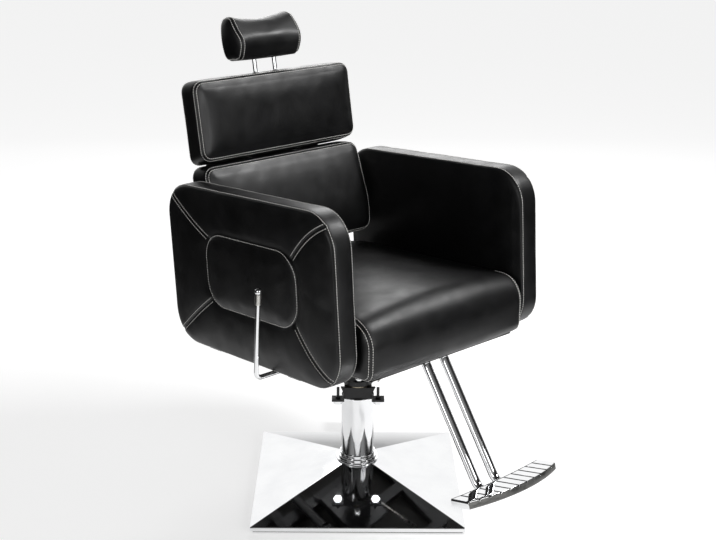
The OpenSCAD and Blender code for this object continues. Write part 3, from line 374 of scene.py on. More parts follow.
class Pad:
    """Quads over one pad, with its points in a local frame."""

    def __init__(self, counts):
        self.counts = counts
        self.points = []
        self.quads = []
        self.hold = []
        self.total = 0

    def add(self, points, hold=0.0):
        """Adds points and returns their numbers."""
        ids = np.arange(self.total, self.total + len(points))
        self.points.append(np.asarray(points, float))
        self.hold.append(np.broadcast_to(np.asarray(hold, float), len(points)).copy())
        self.total += len(points)
        return ids

    def bridge(self, a, b):
        self.quads.append(np.stack([a, b, np.roll(b, -1), np.roll(a, -1)], 1))

    def close(self, ring, ids, place):
        """Fills a ring with a grid of quads and carries its points to their place."""
        n0, n1 = self.counts
        total = len(ring)
        i = np.arange(n0 + 1)
        j = np.arange(n1 + 1)
        sides = (i, (n0 + j) % total, (n0 + n1 + n0 - i) % total, (2 * n0 + n1 + n1 - j) % total)
        grid = np.zeros((n0 + 1, n1 + 1, 2))
        number = np.zeros((n0 + 1, n1 + 1), int)
        for target, side in ((np.s_[:, 0], 0), (np.s_[n0, :], 1), (np.s_[:, n1], 2), (np.s_[0, :], 3)):
            grid[target] = ring[sides[side]]
            number[target] = ids[sides[side]]
        u = (i / n0)[:, None, None]
        v = (j / n1)[None, :, None]
        blend = (1 - v) * grid[:, :1] + v * grid[:, -1:] + (1 - u) * grid[:1] + u * grid[-1:]
        blend -= (1 - u) * (1 - v) * grid[0, 0] + u * (1 - v) * grid[-1, 0]
        blend -= (1 - u) * v * grid[0, -1] + u * v * grid[-1, -1]
        inner = blend[1:-1, 1:-1].reshape(-1, 2)
        number[1:-1, 1:-1] = self.add(place(inner)).reshape(n0 - 1, n1 - 1)
        cells = [number[:-1, :-1], number[1:, :-1], number[1:, 1:], number[:-1, 1:]]
        self.quads.append(np.stack(cells, -1).reshape(-1, 4))

    def face(self, rings, place, hold):
        """Rings of a face from its seam inwards, with the middle filled, and the numbers of each."""
        numbers = [self.add(place(ring), h) for ring, h in zip(rings, hold)]
        for a, b in zip(numbers[:-1], numbers[1:]):
            self.bridge(a, b)
        self.close(rings[-1], numbers[-1], place)
        return numbers

    def wall(self, front, rear, shares, swell):
        """Rings between the seams of two faces, and the numbers of each."""
        a = np.concatenate(self.points)[front]
        b = np.concatenate(self.points)[rear]
        numbers = [front]
        for share in shares:
            numbers.append(self.add(a + (b - a) * share + swell(share)))
        numbers.append(rear)
        for near, far in zip(numbers[:-1], numbers[1:]):
            self.bridge(near, far)
        return numbers


MIDDLE_CLEARANCE = 2 * MM


def wall_shares(width, step):
    """Shares of a wall's width at which its rings lie, narrow beside both seams."""
    narrow = [o / width for o in SEAM_OFFSETS if o < width / 2 - MIDDLE_CLEARANCE]
    count = max(1, round((1 - 2 * narrow[-1]) * width / step))
    body = np.linspace(narrow[-1], 1 - narrow[-1], count + 1)
    return [*narrow[:-1], *body, *[1 - n for n in reversed(narrow[:-1])]]


def mesh_object(name, points, quads):
    """Closed mesh with its faces outward."""
    mesh = bpy.data.meshes.new(name)
    mesh.from_pydata([tuple(p) for p in points], [], [tuple(int(i) for i in q) for q in quads])
    work = bmesh.new()
    work.from_mesh(mesh)
    bmesh.ops.recalc_face_normals(work, faces=work.faces)
    work.to_mesh(mesh)
    work.free()
    mesh.shade_smooth()
    piece = bpy.data.objects.new(name, mesh)
    bpy.context.scene.collection.objects.link(piece)
    return piece


def carried(points, place):
    """Points carried from a local frame into the chair's."""
    turn = np.array(place)
    return np.asarray(points) @ turn[:3, :3].T + turn[:3, 3]


def positions(mesh):
    flat = np.zeros(len(mesh.vertices) * 3, np.float32)
    mesh.vertices.foreach_get("co", flat)
    return flat.reshape(-1, 3).astype(float)


CLOTH_FRAMES = 20


def calmed(move, mesh, held, passes):
    """Evens out how far neighbouring points moved, so that only broad folds stay."""
    ends = np.zeros(len(mesh.edges) * 2, np.int32)
    mesh.edges.foreach_get("vertices", ends)
    a, b = ends.reshape(-1, 2).T
    count = np.bincount(a, minlength=len(move)) + np.bincount(b, minlength=len(move))
    for _ in range(passes):
        near = np.zeros_like(move)
        np.add.at(near, a, move[b])
        np.add.at(near, b, move[a])
        move = np.where(held, move, (move + near / count[:, None]) / 2)
    return move


def settle(piece, hold, pressure, slack, limit, calm):
    """Fills a pad: its leather is held at the seams and pressed out from inside, up to a limit."""
    group = piece.vertex_groups.new(name="held")
    for number, weight in enumerate(hold):
        if weight > 0:
            group.add([number], float(weight), "REPLACE")
    before = positions(piece.data)
    cloth = piece.modifiers.new("leather", "CLOTH")
    cloth.settings.quality = 5
    cloth.settings.mass = 0.3
    cloth.settings.tension_stiffness = 20
    cloth.settings.compression_stiffness = 20
    cloth.settings.shear_stiffness = 8
    cloth.settings.bending_stiffness = 4
    cloth.settings.vertex_group_mass = "held"
    cloth.settings.use_pressure = True
    cloth.settings.uniform_pressure_force = pressure
    cloth.settings.shrink_min = -slack
    cloth.settings.effector_weights.gravity = 0
    cloth.collision_settings.use_collision = False
    cloth.point_cache.frame_start = 1
    cloth.point_cache.frame_end = CLOTH_FRAMES
    scene = bpy.context.scene
    for number in range(1, CLOTH_FRAMES + 1):
        scene.frame_set(number)
    filled = piece.evaluated_get(bpy.context.evaluated_depsgraph_get())
    after = positions(filled.data)
    piece.modifiers.remove(cloth)
    scene.frame_set(1)
    move = after - before
    length = np.linalg.norm(move, axis=1)[:, None]
    move *= limit * np.tanh(length / limit) / np.maximum(length, 1e-9)
    move = calmed(move, piece.data, (np.asarray(hold) > 0.9)[:, None], calm)
    piece.data.vertices.foreach_set("co", (before + move).astype(np.float32).ravel())
    piece.data.update()


def apply_modifiers(piece):
    """Turns a piece with its modifiers into a plain mesh."""
    graph = bpy.context.evaluated_depsgraph_get()
    piece.data = bpy.data.meshes.new_from_object(piece.evaluated_get(graph), depsgraph=graph)
    piece.modifiers.clear()
    piece.vertex_groups.clear()


def smooth_out(piece):
    """Applies one step of subdivision."""
    modifier = piece.modifiers.new("smooth", "SUBSURF")
    modifier.levels = 1
    modifier.render_levels = 1
    apply_modifiers(piece)
    piece.data.shade_smooth()


def upholster(name, pad, place, body, nodes, pressure=2.0, slack=0.002, limit=3 * MM, calm=3,
             mirrored=False):
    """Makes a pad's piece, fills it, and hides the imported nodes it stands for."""
    points = np.concatenate(pad.points)
    if mirrored:
        points = points * (-1, 1, 1)
    piece = mesh_object(name, carried(points, place), np.concatenate(pad.quads))
    settle(piece, np.concatenate(pad.hold), pressure, slack, limit, calm)
    smooth_out(piece)
    piece.data.materials.clear()
    piece.data.materials.append(LEATHER)
    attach(piece, body)
    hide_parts(*nodes)
    return piece


# Stitching

STITCH_SIZES = {"Pitch": 5.2 * MM, "Length": 4.6 * MM, "Thickness": 1.45 * MM}
STITCH_RISE = 0.25 * MM


def stitch_tree():
    """Node tree that lays a stitch at every pitch along the edges of a mesh."""
    tree = bpy.data.node_groups.new("stitch_row", "GeometryNodeTree")
    face = tree.interface
    face.new_socket("Path", in_out="INPUT", socket_type="NodeSocketGeometry")
    for name, value in STITCH_SIZES.items():
        socket = face.new_socket(name, in_out="INPUT", socket_type="NodeSocketFloat")
        socket.default_value = value
    face.new_socket("Thread", in_out="INPUT", socket_type="NodeSocketMaterial")
    face.new_socket("Stitches", in_out="OUTPUT", socket_type="NodeSocketGeometry")
    add = tree.nodes.new
    join = tree.links.new
    given = add("NodeGroupInput")
    result = add("NodeGroupOutput")
    curve = add("GeometryNodeMeshToCurve")
    resample = add("GeometryNodeResampleCurve")
    resample.mode = "LENGTH"
    tangent = add("GeometryNodeInputTangent")
    turn = add("FunctionNodeAlignRotationToVector")
    turn.axis = "X"
    ball = add("GeometryNodeMeshUVSphere")
    ball.inputs["Segments"].default_value = 6
    ball.inputs["Rings"].default_value = 4
    ball.inputs["Radius"].default_value = 0.5
    size = add("ShaderNodeCombineXYZ")
    shape = add("GeometryNodeTransform")
    instances = add("GeometryNodeInstanceOnPoints")
    real = add("GeometryNodeRealizeInstances")
    smooth = add("GeometryNodeSetShadeSmooth")
    dressed = add("GeometryNodeSetMaterial")
    join(given.outputs["Path"], curve.inputs["Mesh"])
    join(curve.outputs["Curve"], resample.inputs["Curve"])
    join(given.outputs["Pitch"], resample.inputs["Length"])
    join(tangent.outputs["Tangent"], turn.inputs["Vector"])
    join(given.outputs["Length"], size.inputs["X"])
    join(given.outputs["Thickness"], size.inputs["Y"])
    join(given.outputs["Thickness"], size.inputs["Z"])
    join(ball.outputs["Mesh"], shape.inputs["Geometry"])
    join(size.outputs["Vector"], shape.inputs["Scale"])
    join(resample.outputs["Curve"], instances.inputs["Points"])
    join(shape.outputs["Geometry"], instances.inputs["Instance"])
    join(turn.outputs["Rotation"], instances.inputs["Rotation"])
    join(instances.outputs["Instances"], real.inputs["Geometry"])
    join(real.outputs["Geometry"], smooth.inputs["Geometry"])
    join(smooth.outputs["Geometry"], dressed.inputs["Geometry"])
    join(given.outputs["Thread"], dressed.inputs["Material"])
    join(dressed.outputs["Geometry"], result.inputs["Stitches"])
    return tree


STITCHES = stitch_tree()


def row_points(piece, ids):
    """Points of a row on the finished leather, raised so that half the thread stands out."""
    mesh = piece.data
    return [mesh.vertices[i].co + mesh.vertices[i].normal * STITCH_RISE for i in ids]


def sew(name, rows, body):
    """Sews stitches along rows, each a list of points and whether it closes."""
    points = []
    edges = []
    for row, closed in rows:
        first = len(points)
        points.extend(row)
        edges.extend((first + i, first + i + 1) for i in range(len(row) - 1))
        if closed:
            edges.append((first + len(row) - 1, first))
    mesh = bpy.data.meshes.new(name)
    mesh.from_pydata(points, edges, [])
    path = bpy.data.objects.new(name + "_path", mesh)
    bpy.context.scene.collection.objects.link(path)
    modifier = path.modifiers.new("stitches", "NODES")
    modifier.node_group = STITCHES
    values = {**STITCH_SIZES, "Thread": THREAD}
    for item in STITCHES.interface.items_tree:
        if item.in_out == "INPUT" and item.name in values:
            modifier[item.identifier] = values[item.name]
    graph = bpy.context.evaluated_depsgraph_get()
    made = bpy.data.meshes.new_from_object(path.evaluated_get(graph), depsgraph=graph)
    bpy.data.objects.remove(path)
    piece = bpy.data.objects.new(name, made)
    bpy.context.scene.collection.objects.link(piece)
    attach(piece, body)
    return piece


# Arms

ARM_CROWN = 3 * MM
ARM_FILL = 2.5 * MM
PANEL_FILL = 1.2 * MM
ARM_CORNER = 70 * MM
ARM_INNER_SWELL = 5 * MM
ARM_THICKNESS = 45.9 * MM
PANEL_CORNER = 58 * MM
PANEL_INSET = 5 * MM
# Each round is the width and the height of leather that rises from a seam, and each dome a height more
ARM_ROUND = (18 * MM, 4.5 * MM)
ARM_DOME = 4 * MM
ARM_INNER_ROUND = (24 * MM, 4.2 * MM)
ARM_INNER_DOME = 0.6 * MM
ARM_EDGE_ROUND = (9 * MM, ARM_CROWN)
# Each valley is its width and depth
DIAGONAL_VALLEY = (6 * MM, 1.8 * MM)
DIAGONAL_CREASE = (1.2 * MM, 0.7 * MM)
PANEL_VALLEY = (6 * MM, 2.5 * MM)
ARM_WALL_STEP = 6 * MM
ARM_COUNTS = (40, 64)
DIAGONAL_STEPS = (2.2 * MM, 5.2 * MM, 8.2 * MM, 12 * MM)
DIAGONAL_ROW = 2
# How far each diagonal seam bows upwards, from the front top corner round by the front low corner
DIAGONAL_BOWS = (10 * MM, -13 * MM, 3 * MM, -5 * MM)
OUTER_RINGS = 17


def arm_sizes():
    """Corners of an arm's outline and of its raised panel, and where its two seams lie."""
    low, high = local_box("arm_pad_left", SEAT)
    front, rear = low[1] + ARM_CROWN, high[1] - ARM_CROWN
    bottom, top = low[2], high[2] - ARM_CROWN
    outline = [(front, top), (front, bottom), (rear, bottom), (rear, top)]
    outline = [(u, w, ARM_CORNER) for u, w in outline]
    inner = low[0] + ARM_INNER_SWELL
    p_low, p_high = local_box("arm_panel_left", SEAT)
    p_front, p_rear = p_low[1] + PANEL_INSET, p_high[1] - PANEL_INSET
    p_bottom, p_top = p_low[2] + PANEL_INSET, p_high[2] - PANEL_INSET
    panel = [(p_front, p_top), (p_front, p_bottom), (p_rear, p_bottom), (p_rear, p_top)]
    panel = [(u, w, PANEL_CORNER) for u, w in panel]
    return outline, panel, inner, inner + ARM_THICKNESS, p_low[0], p_high[0]


def diagonal_bows(starts):
    """How far a facing bows upwards at each place round an arm, from one diagonal seam to the next."""
    place = np.arange(starts[-1])
    bow = np.zeros(starts[-1])
    for i in range(4):
        mine = (place >= starts[i]) & (place < starts[i + 1])
        share = (place[mine] - starts[i]) / (starts[i + 1] - starts[i])
        bow[mine] = DIAGONAL_BOWS[i] * np.cos(share * math.pi / 2) ** 2
        bow[mine] += DIAGONAL_BOWS[(i + 1) % 4] * np.sin(share * math.pi / 2) ** 2
    return bow


def arm_pad():
    """Arm with four swelling facings round its raised panel and a plain inner face."""
    outline, panel, inner, outer, _, _ = arm_sizes()
    pad = Pad(ARM_COUNTS)
    edge = loop_points(outline, ARM_COUNTS, narrow=DIAGONAL_STEPS)
    core = loop_points(panel, ARM_COUNTS, narrow=DIAGONAL_STEPS)
    n0, n1 = ARM_COUNTS
    starts = np.array([0, n0, n0 + n1, 2 * n0 + n1, 2 * (n0 + n1)])
    bow = diagonal_bows(starts)
    reach = np.linalg.norm(edge[0] - core[0])
    narrow = [o / reach for o in SEAM_OFFSETS]
    shares = [0, *narrow[:-1], *np.linspace(narrow[-1], 1, OUTER_RINGS - len(narrow) + 1)]
    rings = [edge + (core - edge) * t + np.stack([0 * bow, bow * math.sin(math.pi * t)], 1) for t in shares]
    diagonals = [np.array([ring[s] for ring in rings]) for s in starts[:4]]
    closed_core = np.vstack([core, core[:1]])
    closed_edge = np.vstack([edge, edge[:1]])
    middle = edge.mean(0)
    half = (edge.max(0) - edge.min(0)) / 2

    def outer_face(ring):
        share = np.max(np.abs(ring - middle) / half, axis=1)
        seam = distance_to(ring, closed_edge)
        diagonal = np.min([distance_to(ring, line) for line in diagonals], axis=0)
        rim = distance_to(ring, closed_core)
        height = plump(seam, *ARM_ROUND) + ARM_DOME * (1 - share ** 3)
        height += dip(diagonal, *DIAGONAL_VALLEY) + dip(diagonal, *DIAGONAL_CREASE)
        height += dip(rim, *PANEL_VALLEY)
        return np.stack([outer + height, ring[:, 0], ring[:, 1]], 1)

    def inner_face(ring):
        share = np.max(np.abs(ring - middle) / half, axis=1)
        height = plump(distance_to(ring, closed_edge), *ARM_INNER_ROUND)
        height = height + ARM_INNER_DOME * (1 - share ** 3)
        return np.stack([inner - height, ring[:, 0], ring[:, 1]], 1)

    hold = np.zeros((len(rings), len(edge)))
    hold[:2] = 1
    hold[-2:] = 1
    for s in starts[:4]:
        for k in range(-DIAGONAL_ROW, DIAGONAL_ROW + 1):
            hold[:, (s + k) % len(edge)] = 1
    outer_ids = pad.face(rings, outer_face, hold)
    normals = inward(edge)
    inner_rings = [edge, *[edge + normals * o for o in SEAM_OFFSETS]]
    inner_ids = pad.face(inner_rings, inner_face, [1, 1, 0, 0, 0, 0])
    out = np.stack([np.zeros(len(edge)), -normals[:, 0], -normals[:, 1]], 1)
    width = outer - inner

    def swell(share):
        return out * plump(np.array(min(share, 1 - share) * width), *ARM_EDGE_ROUND)

    shares = wall_shares(width, ARM_WALL_STEP)
    wall_ids = pad.wall(outer_ids[0], inner_ids[0], shares, swell)
    rows = {
        "outer": (wall_ids[ROW], True),
        "inner": (wall_ids[-1 - ROW], True),
    }
    for i, s in enumerate(starts[:4]):
        for side, k in (("a", DIAGONAL_ROW), ("b", -DIAGONAL_ROW)):
            ids = [ring[(s + k) % len(edge)] for ring in outer_ids[1:-1]]
            rows[f"diagonal_{i}{side}"] = (np.array(ids), False)
    return pad, rows


PANEL_COUNTS = (28, 48)
PANEL_BASE = 2 * MM
PANEL_ROUND = 16 * MM
PANEL_ROUND_SHARE = 0.55
PANEL_DOME_SHARE = 0.4
PANEL_STITCH_VALLEY = (1.5 * MM, 0.4 * MM)


def panel_pad():
    """Raised panel of an arm, a flat pillow with its edge turned in."""
    _, panel, _, _, low, high = arm_sizes()
    pad = Pad(PANEL_COUNTS)
    edge = loop_points(panel, PANEL_COUNTS)
    closed = np.vstack([edge, edge[:1]])
    normals = inward(edge)
    rings = [edge, *[edge + normals * o for o in SEAM_OFFSETS]]
    middle = edge.mean(0)
    half = (edge.max(0) - edge.min(0)) / 2
    rise = high - low

    def top(ring):
        share = np.max(np.abs(ring - middle) / half, axis=1)
        seam = distance_to(ring, closed)
        height = plump(seam, PANEL_ROUND, PANEL_ROUND_SHARE * rise)
        height = height + PANEL_DOME_SHARE * rise * (1 - share ** 3)
        height += dip(np.abs(seam - SEAM_OFFSETS[1]), *PANEL_STITCH_VALLEY)
        return np.stack([low + height, ring[:, 0], ring[:, 1]], 1)

    def back(ring):
        return np.stack([np.full(len(ring), low - PANEL_BASE), ring[:, 0], ring[:, 1]], 1)

    top_ids = pad.face(rings, top, [1, 1, 0.5, 0, 0, 0])
    back_ids = pad.face(rings[:3], back, [1, 1, 1])
    pad.hold[-1][:] = 1
    pad.bridge(top_ids[0], back_ids[0])
    return pad, {"edge": (top_ids[ROW], True)}


def add_arms():
    for side, mirrored in (("left", False), ("right", True)):
        pad, rows = arm_pad()
        arm = upholster(f"arm_{side}", pad, SEAT, "seat", [f"arm_pad_{side}"], limit=ARM_FILL,
                        mirrored=mirrored)
        stitches = [(row_points(arm, ids), closed) for ids, closed in rows.values()]
        pad, rows = panel_pad()
        panel = upholster(f"arm_raised_panel_{side}", pad, SEAT, "seat", [f"arm_panel_{side}"],
                          limit=PANEL_FILL, mirrored=mirrored)
        stitches += [(row_points(panel, ids), closed) for ids, closed in rows.values()]
        sew(f"arm_stitching_{side}", stitches, "seat")


# Seat cushion

SEAT_SEAM = 212 * MM
SEAT_CROWN = 16 * MM
SEAT_FRONT_CROWN = 6 * MM
SEAT_SIDE_SWELL = 16 * MM
SEAT_DRAW = 10 * MM
SEAT_SIDE_ROUND = (26 * MM, 9 * MM)
SEAT_SEAM_ROUND = (16 * MM, 3 * MM)
SEAT_CROWN_SHARE = 0.85
SEAT_WALL_STEP = 8 * MM
SEAT_FILL = 5 * MM
SEAT_CORNERS = (52 * MM, 20 * MM, 20 * MM, 22 * MM)
SEAT_COUNTS = (18, 78)
# The cushion's rows of stitches run over its front, and tuck in beside the arms
SEAT_ROW_END = 72 * MM


def seat_pad():
    """Seat cushion whose top runs down over the front, with a swelling panel let in at each side."""
    low, high = local_box("seat_cushion", SEAT)
    front, rear = low[1] + SEAT_FRONT_CROWN, high[1]
    bottom, top = low[2], high[2] - SEAT_CROWN
    radii = SEAT_CORNERS
    outline = [(front, top), (front + SEAT_DRAW, bottom), (rear, bottom), (rear, top)]
    outline = [(u, w, radius) for (u, w), radius in zip(outline, radii)]
    pad = Pad(SEAT_COUNTS)
    edge = loop_points(outline, SEAT_COUNTS)
    closed = np.vstack([edge, edge[:1]])
    normals = inward(edge)
    offsets = [o for o in SEAM_OFFSETS if o < radii[1]]
    rings = [edge, *[edge + normals * o for o in offsets]]
    middle = (edge.max(0) + edge.min(0)) / 2
    half = (edge.max(0) - edge.min(0)) / 2

    def side_face(sign):
        def place(ring):
            share = np.max(np.abs(ring - middle) / half, axis=1)
            height = plump(distance_to(ring, closed), *SEAT_SIDE_ROUND)
            height += (SEAT_SIDE_SWELL - SEAT_SIDE_ROUND[1]) * (1 - share ** 3)
            return np.stack([sign * (SEAT_SEAM + height), ring[:, 0], ring[:, 1]], 1)
        return place

    hold = [1, 1] + [0] * (len(rings) - 2)
    left = pad.face(rings, side_face(1), hold)
    right = pad.face(rings, side_face(-1), hold)
    across = (edge - middle) / half
    out_u = np.where(across[:, 0] < 0, SEAT_FRONT_CROWN, 0)
    out_w = np.where(across[:, 1] > 0, SEAT_CROWN, 0)
    crown = np.stack([0 * out_u, out_u * across[:, 0], out_w * across[:, 1]], 1)
    lifted = np.linalg.norm(crown, axis=1)[:, None]
    edge_out = np.stack([0 * out_u, -normals[:, 0], -normals[:, 1]], 1)
    edge_out *= np.clip(lifted / SEAT_FRONT_CROWN, 0, 1)

    def swell(share):
        b = 2 * share - 1
        rise = plump(np.array(min(share, 1 - share) * 2 * SEAT_SEAM), *SEAT_SEAM_ROUND)
        return crown * (1 - b * b) * SEAT_CROWN_SHARE + edge_out * rise

    shares = wall_shares(2 * SEAT_SEAM, SEAT_WALL_STEP)
    wall = pad.wall(left[0], right[0], shares, swell)
    shown = front_run(edge, front + SEAT_ROW_END)
    rows = {
        "left_top": (wall[ROW][shown], False), "left_side": (left[ROW][shown], False),
        "right_top": (wall[-1 - ROW][shown], False), "right_side": (right[ROW][shown], False),
    }
    return pad, rows


def front_run(ring, limit):
    """Places round a ring that lie ahead of a limit, in one run."""
    ahead = ring[:, 0] < limit
    first = int(np.flatnonzero(ahead & ~np.roll(ahead, 1))[0])
    order = (first + np.arange(len(ring))) % len(ring)
    return order[:int(ahead.sum())]


def add_seat():
    pad, rows = seat_pad()
    seat = upholster("seat_cushion_leather", pad, SEAT, "seat", ["seat_cushion"], pressure=3,
                     slack=0.001, limit=SEAT_FILL, calm=24)
    sew("seat_stitching", [(row_points(seat, ids), closed) for ids, closed in rows.values()], "seat")


# Back pads

BACK_SEAM = 214 * MM
BACK_CORNER = 20 * MM
BACK_COUNTS = (28, 64)
BACK_REAR = -12 * MM
BACK_ROUND = (26 * MM, 7 * MM)
BACK_SEAM_ROUND = (12 * MM, 3 * MM)
BACK_WALL_STEP = 7 * MM
BACK_FILL = 4 * MM
UPPER_CROWN = 11 * MM
LOWER_CROWN = 9 * MM
# How far the bend in the lower pad's front is spread up and down
LOWER_BEND_SPREAD = 30 * MM
UPPER_Z = (345 * MM, 512 * MM)
UPPER_REAR_Z = (334 * MM, 512 * MM)
UPPER_FRONT = [(0, -62 * MM), (1, -62 * MM)]
LOWER_Z = (124 * MM, 327 * MM)
LOWER_REAR_Z = (112 * MM, 327 * MM)
LOWER_FRONT = [(100 * MM, -80 * MM), (185 * MM, -90 * MM), (327 * MM, -62 * MM), (340 * MM, -59 * MM)]


def back_pad(front_z, rear_z, profile, crown, spread_z):
    """Boxed back pad: a swelling front panel with rounded corners, a side strip and a flat rear."""
    def outline(z):
        return [(-BACK_SEAM, z[1], BACK_CORNER), (-BACK_SEAM, z[0], BACK_CORNER),
                (BACK_SEAM, z[0], BACK_CORNER), (BACK_SEAM, z[1], BACK_CORNER)]

    pad = Pad(BACK_COUNTS)
    edge = loop_points(outline(front_z), BACK_COUNTS)
    rear_edge = loop_points(outline(rear_z), BACK_COUNTS)
    closed = np.vstack([edge, edge[:1]])
    normals = inward(edge)
    rings = [edge, *[edge + normals * o for o in SEAM_OFFSETS]]
    rear_rings = [rear_edge, *[rear_edge + inward(rear_edge) * o for o in SEAM_OFFSETS[1::2]]]
    middle = (edge.max(0) + edge.min(0)) / 2
    half = (edge.max(0) - edge.min(0)) / 2
    heights, depths = np.array(profile).T

    def front_depth(z):
        taps = np.linspace(-spread_z, spread_z, 7)
        return np.mean([np.interp(z + tap, heights, depths) for tap in taps], axis=0)

    def front_face(ring):
        share = np.abs((ring - middle) / half)
        dome = (1 - np.minimum(share[:, 0], 1) ** 2) * (1 - np.minimum(share[:, 1], 1) ** 4)
        height = plump(distance_to(ring, closed), *BACK_ROUND) + (crown - BACK_ROUND[1]) * dome
        return np.stack([ring[:, 0], front_depth(ring[:, 1]) - height, ring[:, 1]], 1)

    def rear_face(ring):
        return np.stack([ring[:, 0], np.full(len(ring), BACK_REAR), ring[:, 1]], 1)

    front = pad.face(rings, front_face, [1, 1, 0, 0, 0, 0])
    rear = pad.face(rear_rings, rear_face, [1, 1, 1])
    pad.hold[-1][:] = 1
    out = np.stack([-normals[:, 0], np.zeros(len(edge)), -normals[:, 1]], 1)
    width = float(np.mean(BACK_REAR - front_depth(edge[:, 1])))

    def swell(share):
        return out * plump(np.array(min(share, 1 - share) * width), *BACK_SEAM_ROUND)

    wall = pad.wall(front[0], rear[0], wall_shares(width, BACK_WALL_STEP), swell)
    rows = {"face": (front[ROW], True), "side": (wall[ROW], True), "rear": (wall[-1 - ROW], True)}
    return pad, rows


def add_back():
    pad, rows = back_pad(UPPER_Z, UPPER_REAR_Z, UPPER_FRONT, UPPER_CROWN, 0)
    upper = upholster("upper_back_leather", pad, BACK, "back", ["upper_pad"], pressure=4, slack=0.003,
                      limit=BACK_FILL, calm=5)
    stitches = [(row_points(upper, ids), closed) for ids, closed in rows.values()]
    pad, rows = back_pad(LOWER_Z, LOWER_REAR_Z, LOWER_FRONT, LOWER_CROWN, LOWER_BEND_SPREAD)
    lower = upholster("lower_back_leather", pad, BACK, "back", ["lower_pad"], pressure=4, slack=0.003,
                      limit=BACK_FILL, calm=5)
    stitches += [(row_points(lower, ids), closed) for ids, closed in rows.values()]
    sew("back_stitching", stitches, "back")


# Headrest

HEAD_SEAM = 72 * MM
HEAD_SWELL = 20 * MM
HEAD_HOLLOW = 5 * MM
HEAD_SADDLE = 9 * MM
HEAD_CAP_ROUND = (14 * MM, 6 * MM)
HEAD_SEAM_ROUND = (8 * MM, 1.5 * MM)
HEAD_WALL_STEP = 6 * MM
HEAD_FILL = 2 * MM
HEAD_COUNTS = (20, 14)
HEAD_OUTLINE = [(-40 * MM, 641 * MM, 20 * MM), (-76 * MM, 585 * MM, 30 * MM), (-56 * MM, 548 * MM, 18 * MM),
                (4 * MM, 548 * MM, 18 * MM), (4 * MM, 641 * MM, 20 * MM)]


def head_pad():
    """Headrest: a saddle between two swelling end caps."""
    pad = Pad(HEAD_COUNTS)
    edge = loop_points(HEAD_OUTLINE, HEAD_COUNTS, patch=(0, 2, 3, 4))
    closed = np.vstack([edge, edge[:1]])
    normals = inward(edge)
    rings = [edge, *[edge + normals * o for o in SEAM_OFFSETS]]
    middle = (edge.max(0) + edge.min(0)) / 2
    half = (edge.max(0) - edge.min(0)) / 2

    def cap(sign):
        def place(ring):
            share = np.linalg.norm((ring - middle) / half, axis=1) / math.sqrt(2)
            height = plump(distance_to(ring, closed), *HEAD_CAP_ROUND)
            height += (HEAD_SWELL - HEAD_CAP_ROUND[1]) * (1 - np.clip(share, 0, 1) ** 2)
            return np.stack([sign * (HEAD_SEAM + height), ring[:, 0], ring[:, 1]], 1)
        return place

    left = pad.face(rings, cap(1), [1, 1, 0, 0, 0, 0])
    right = pad.face(rings, cap(-1), [1, 1, 0, 0, 0, 0])
    across = (edge - middle) / half
    out_y = np.where(across[:, 0] < 0, -HEAD_HOLLOW, 0)
    out_z = np.where(across[:, 1] > 0, -HEAD_SADDLE, 0)
    hollow = np.stack([0 * out_y, out_y * across[:, 0], out_z * across[:, 1]], 1)
    out = np.stack([0 * out_y, -normals[:, 0], -normals[:, 1]], 1)

    def swell(share):
        b = 2 * share - 1
        from_seam = np.array(min(share, 1 - share) * 2 * HEAD_SEAM)
        return hollow * (1 - b * b) + out * plump(from_seam, *HEAD_SEAM_ROUND)

    wall = pad.wall(left[0], right[0], wall_shares(2 * HEAD_SEAM, HEAD_WALL_STEP), swell)
    rows = {
        "left_wrap": (wall[ROW], True), "left_cap": (left[ROW], True),
        "right_wrap": (wall[-1 - ROW], True), "right_cap": (right[ROW], True),
    }
    return pad, rows


def add_headrest():
    pad, rows = head_pad()
    head = upholster("headrest_leather", pad, BACK, "headrest", ["headrest_cushion"], limit=HEAD_FILL)
    stitches = [(row_points(head, ids), closed) for ids, closed in rows.values()]
    sew("headrest_stitching", stitches, "headrest")


# Metal

# Edges that turn by more than this many degrees are rounded. The foot's facets meet more flatly
EDGE_ANGLE = 28
FOOT_EDGE_ANGLE = 15
COLLAR_ROUND = 2.6 * MM
BOLT_ROUND = 0.6 * MM
RUBBER_SHARE = 0.975


def dress(node, body, slot, width, name, angle=EDGE_ANGLE, segments=2):
    """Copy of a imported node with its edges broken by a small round."""
    work = bmesh.new()
    work.from_mesh(frame["nodes"][node].data)
    bmesh.ops.remove_doubles(work, verts=work.verts, dist=0.002 * MM)
    bmesh.ops.dissolve_limit(work, angle_limit=math.radians(0.5), verts=work.verts, edges=work.edges)
    mesh = bpy.data.meshes.new(name)
    work.to_mesh(mesh)
    work.free()
    piece = bpy.data.objects.new(name, mesh)
    bpy.context.scene.collection.objects.link(piece)
    bevel = piece.modifiers.new("round", "BEVEL")
    bevel.width = width
    bevel.segments = segments
    bevel.limit_method = "ANGLE"
    bevel.angle_limit = math.radians(angle)
    bevel.use_clamp_overlap = True
    apply_modifiers(piece)
    piece.data.shade_smooth()
    piece.data.set_sharp_from_angle(angle=math.radians(angle))
    # Wide faces keep their own direction, so that they mirror as flat or round as they are
    even = piece.modifiers.new("even", "WEIGHTED_NORMAL")
    even.weight = 80
    even.keep_sharp = True
    apply_modifiers(piece)
    piece.data.materials.clear()
    piece.data.materials.append(FINISHES[slot])
    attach(piece, body)
    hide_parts(node)
    return piece


bodies = frame["record"]["behaviour"]["bodies"]
BODY_OF = {node: body for body, nodes in bodies.items() for node in nodes}
SLOT_OF = {
    name: node.material_slots[0].material.name.split(".")[0]
    for name, node in frame["nodes"].items()
}
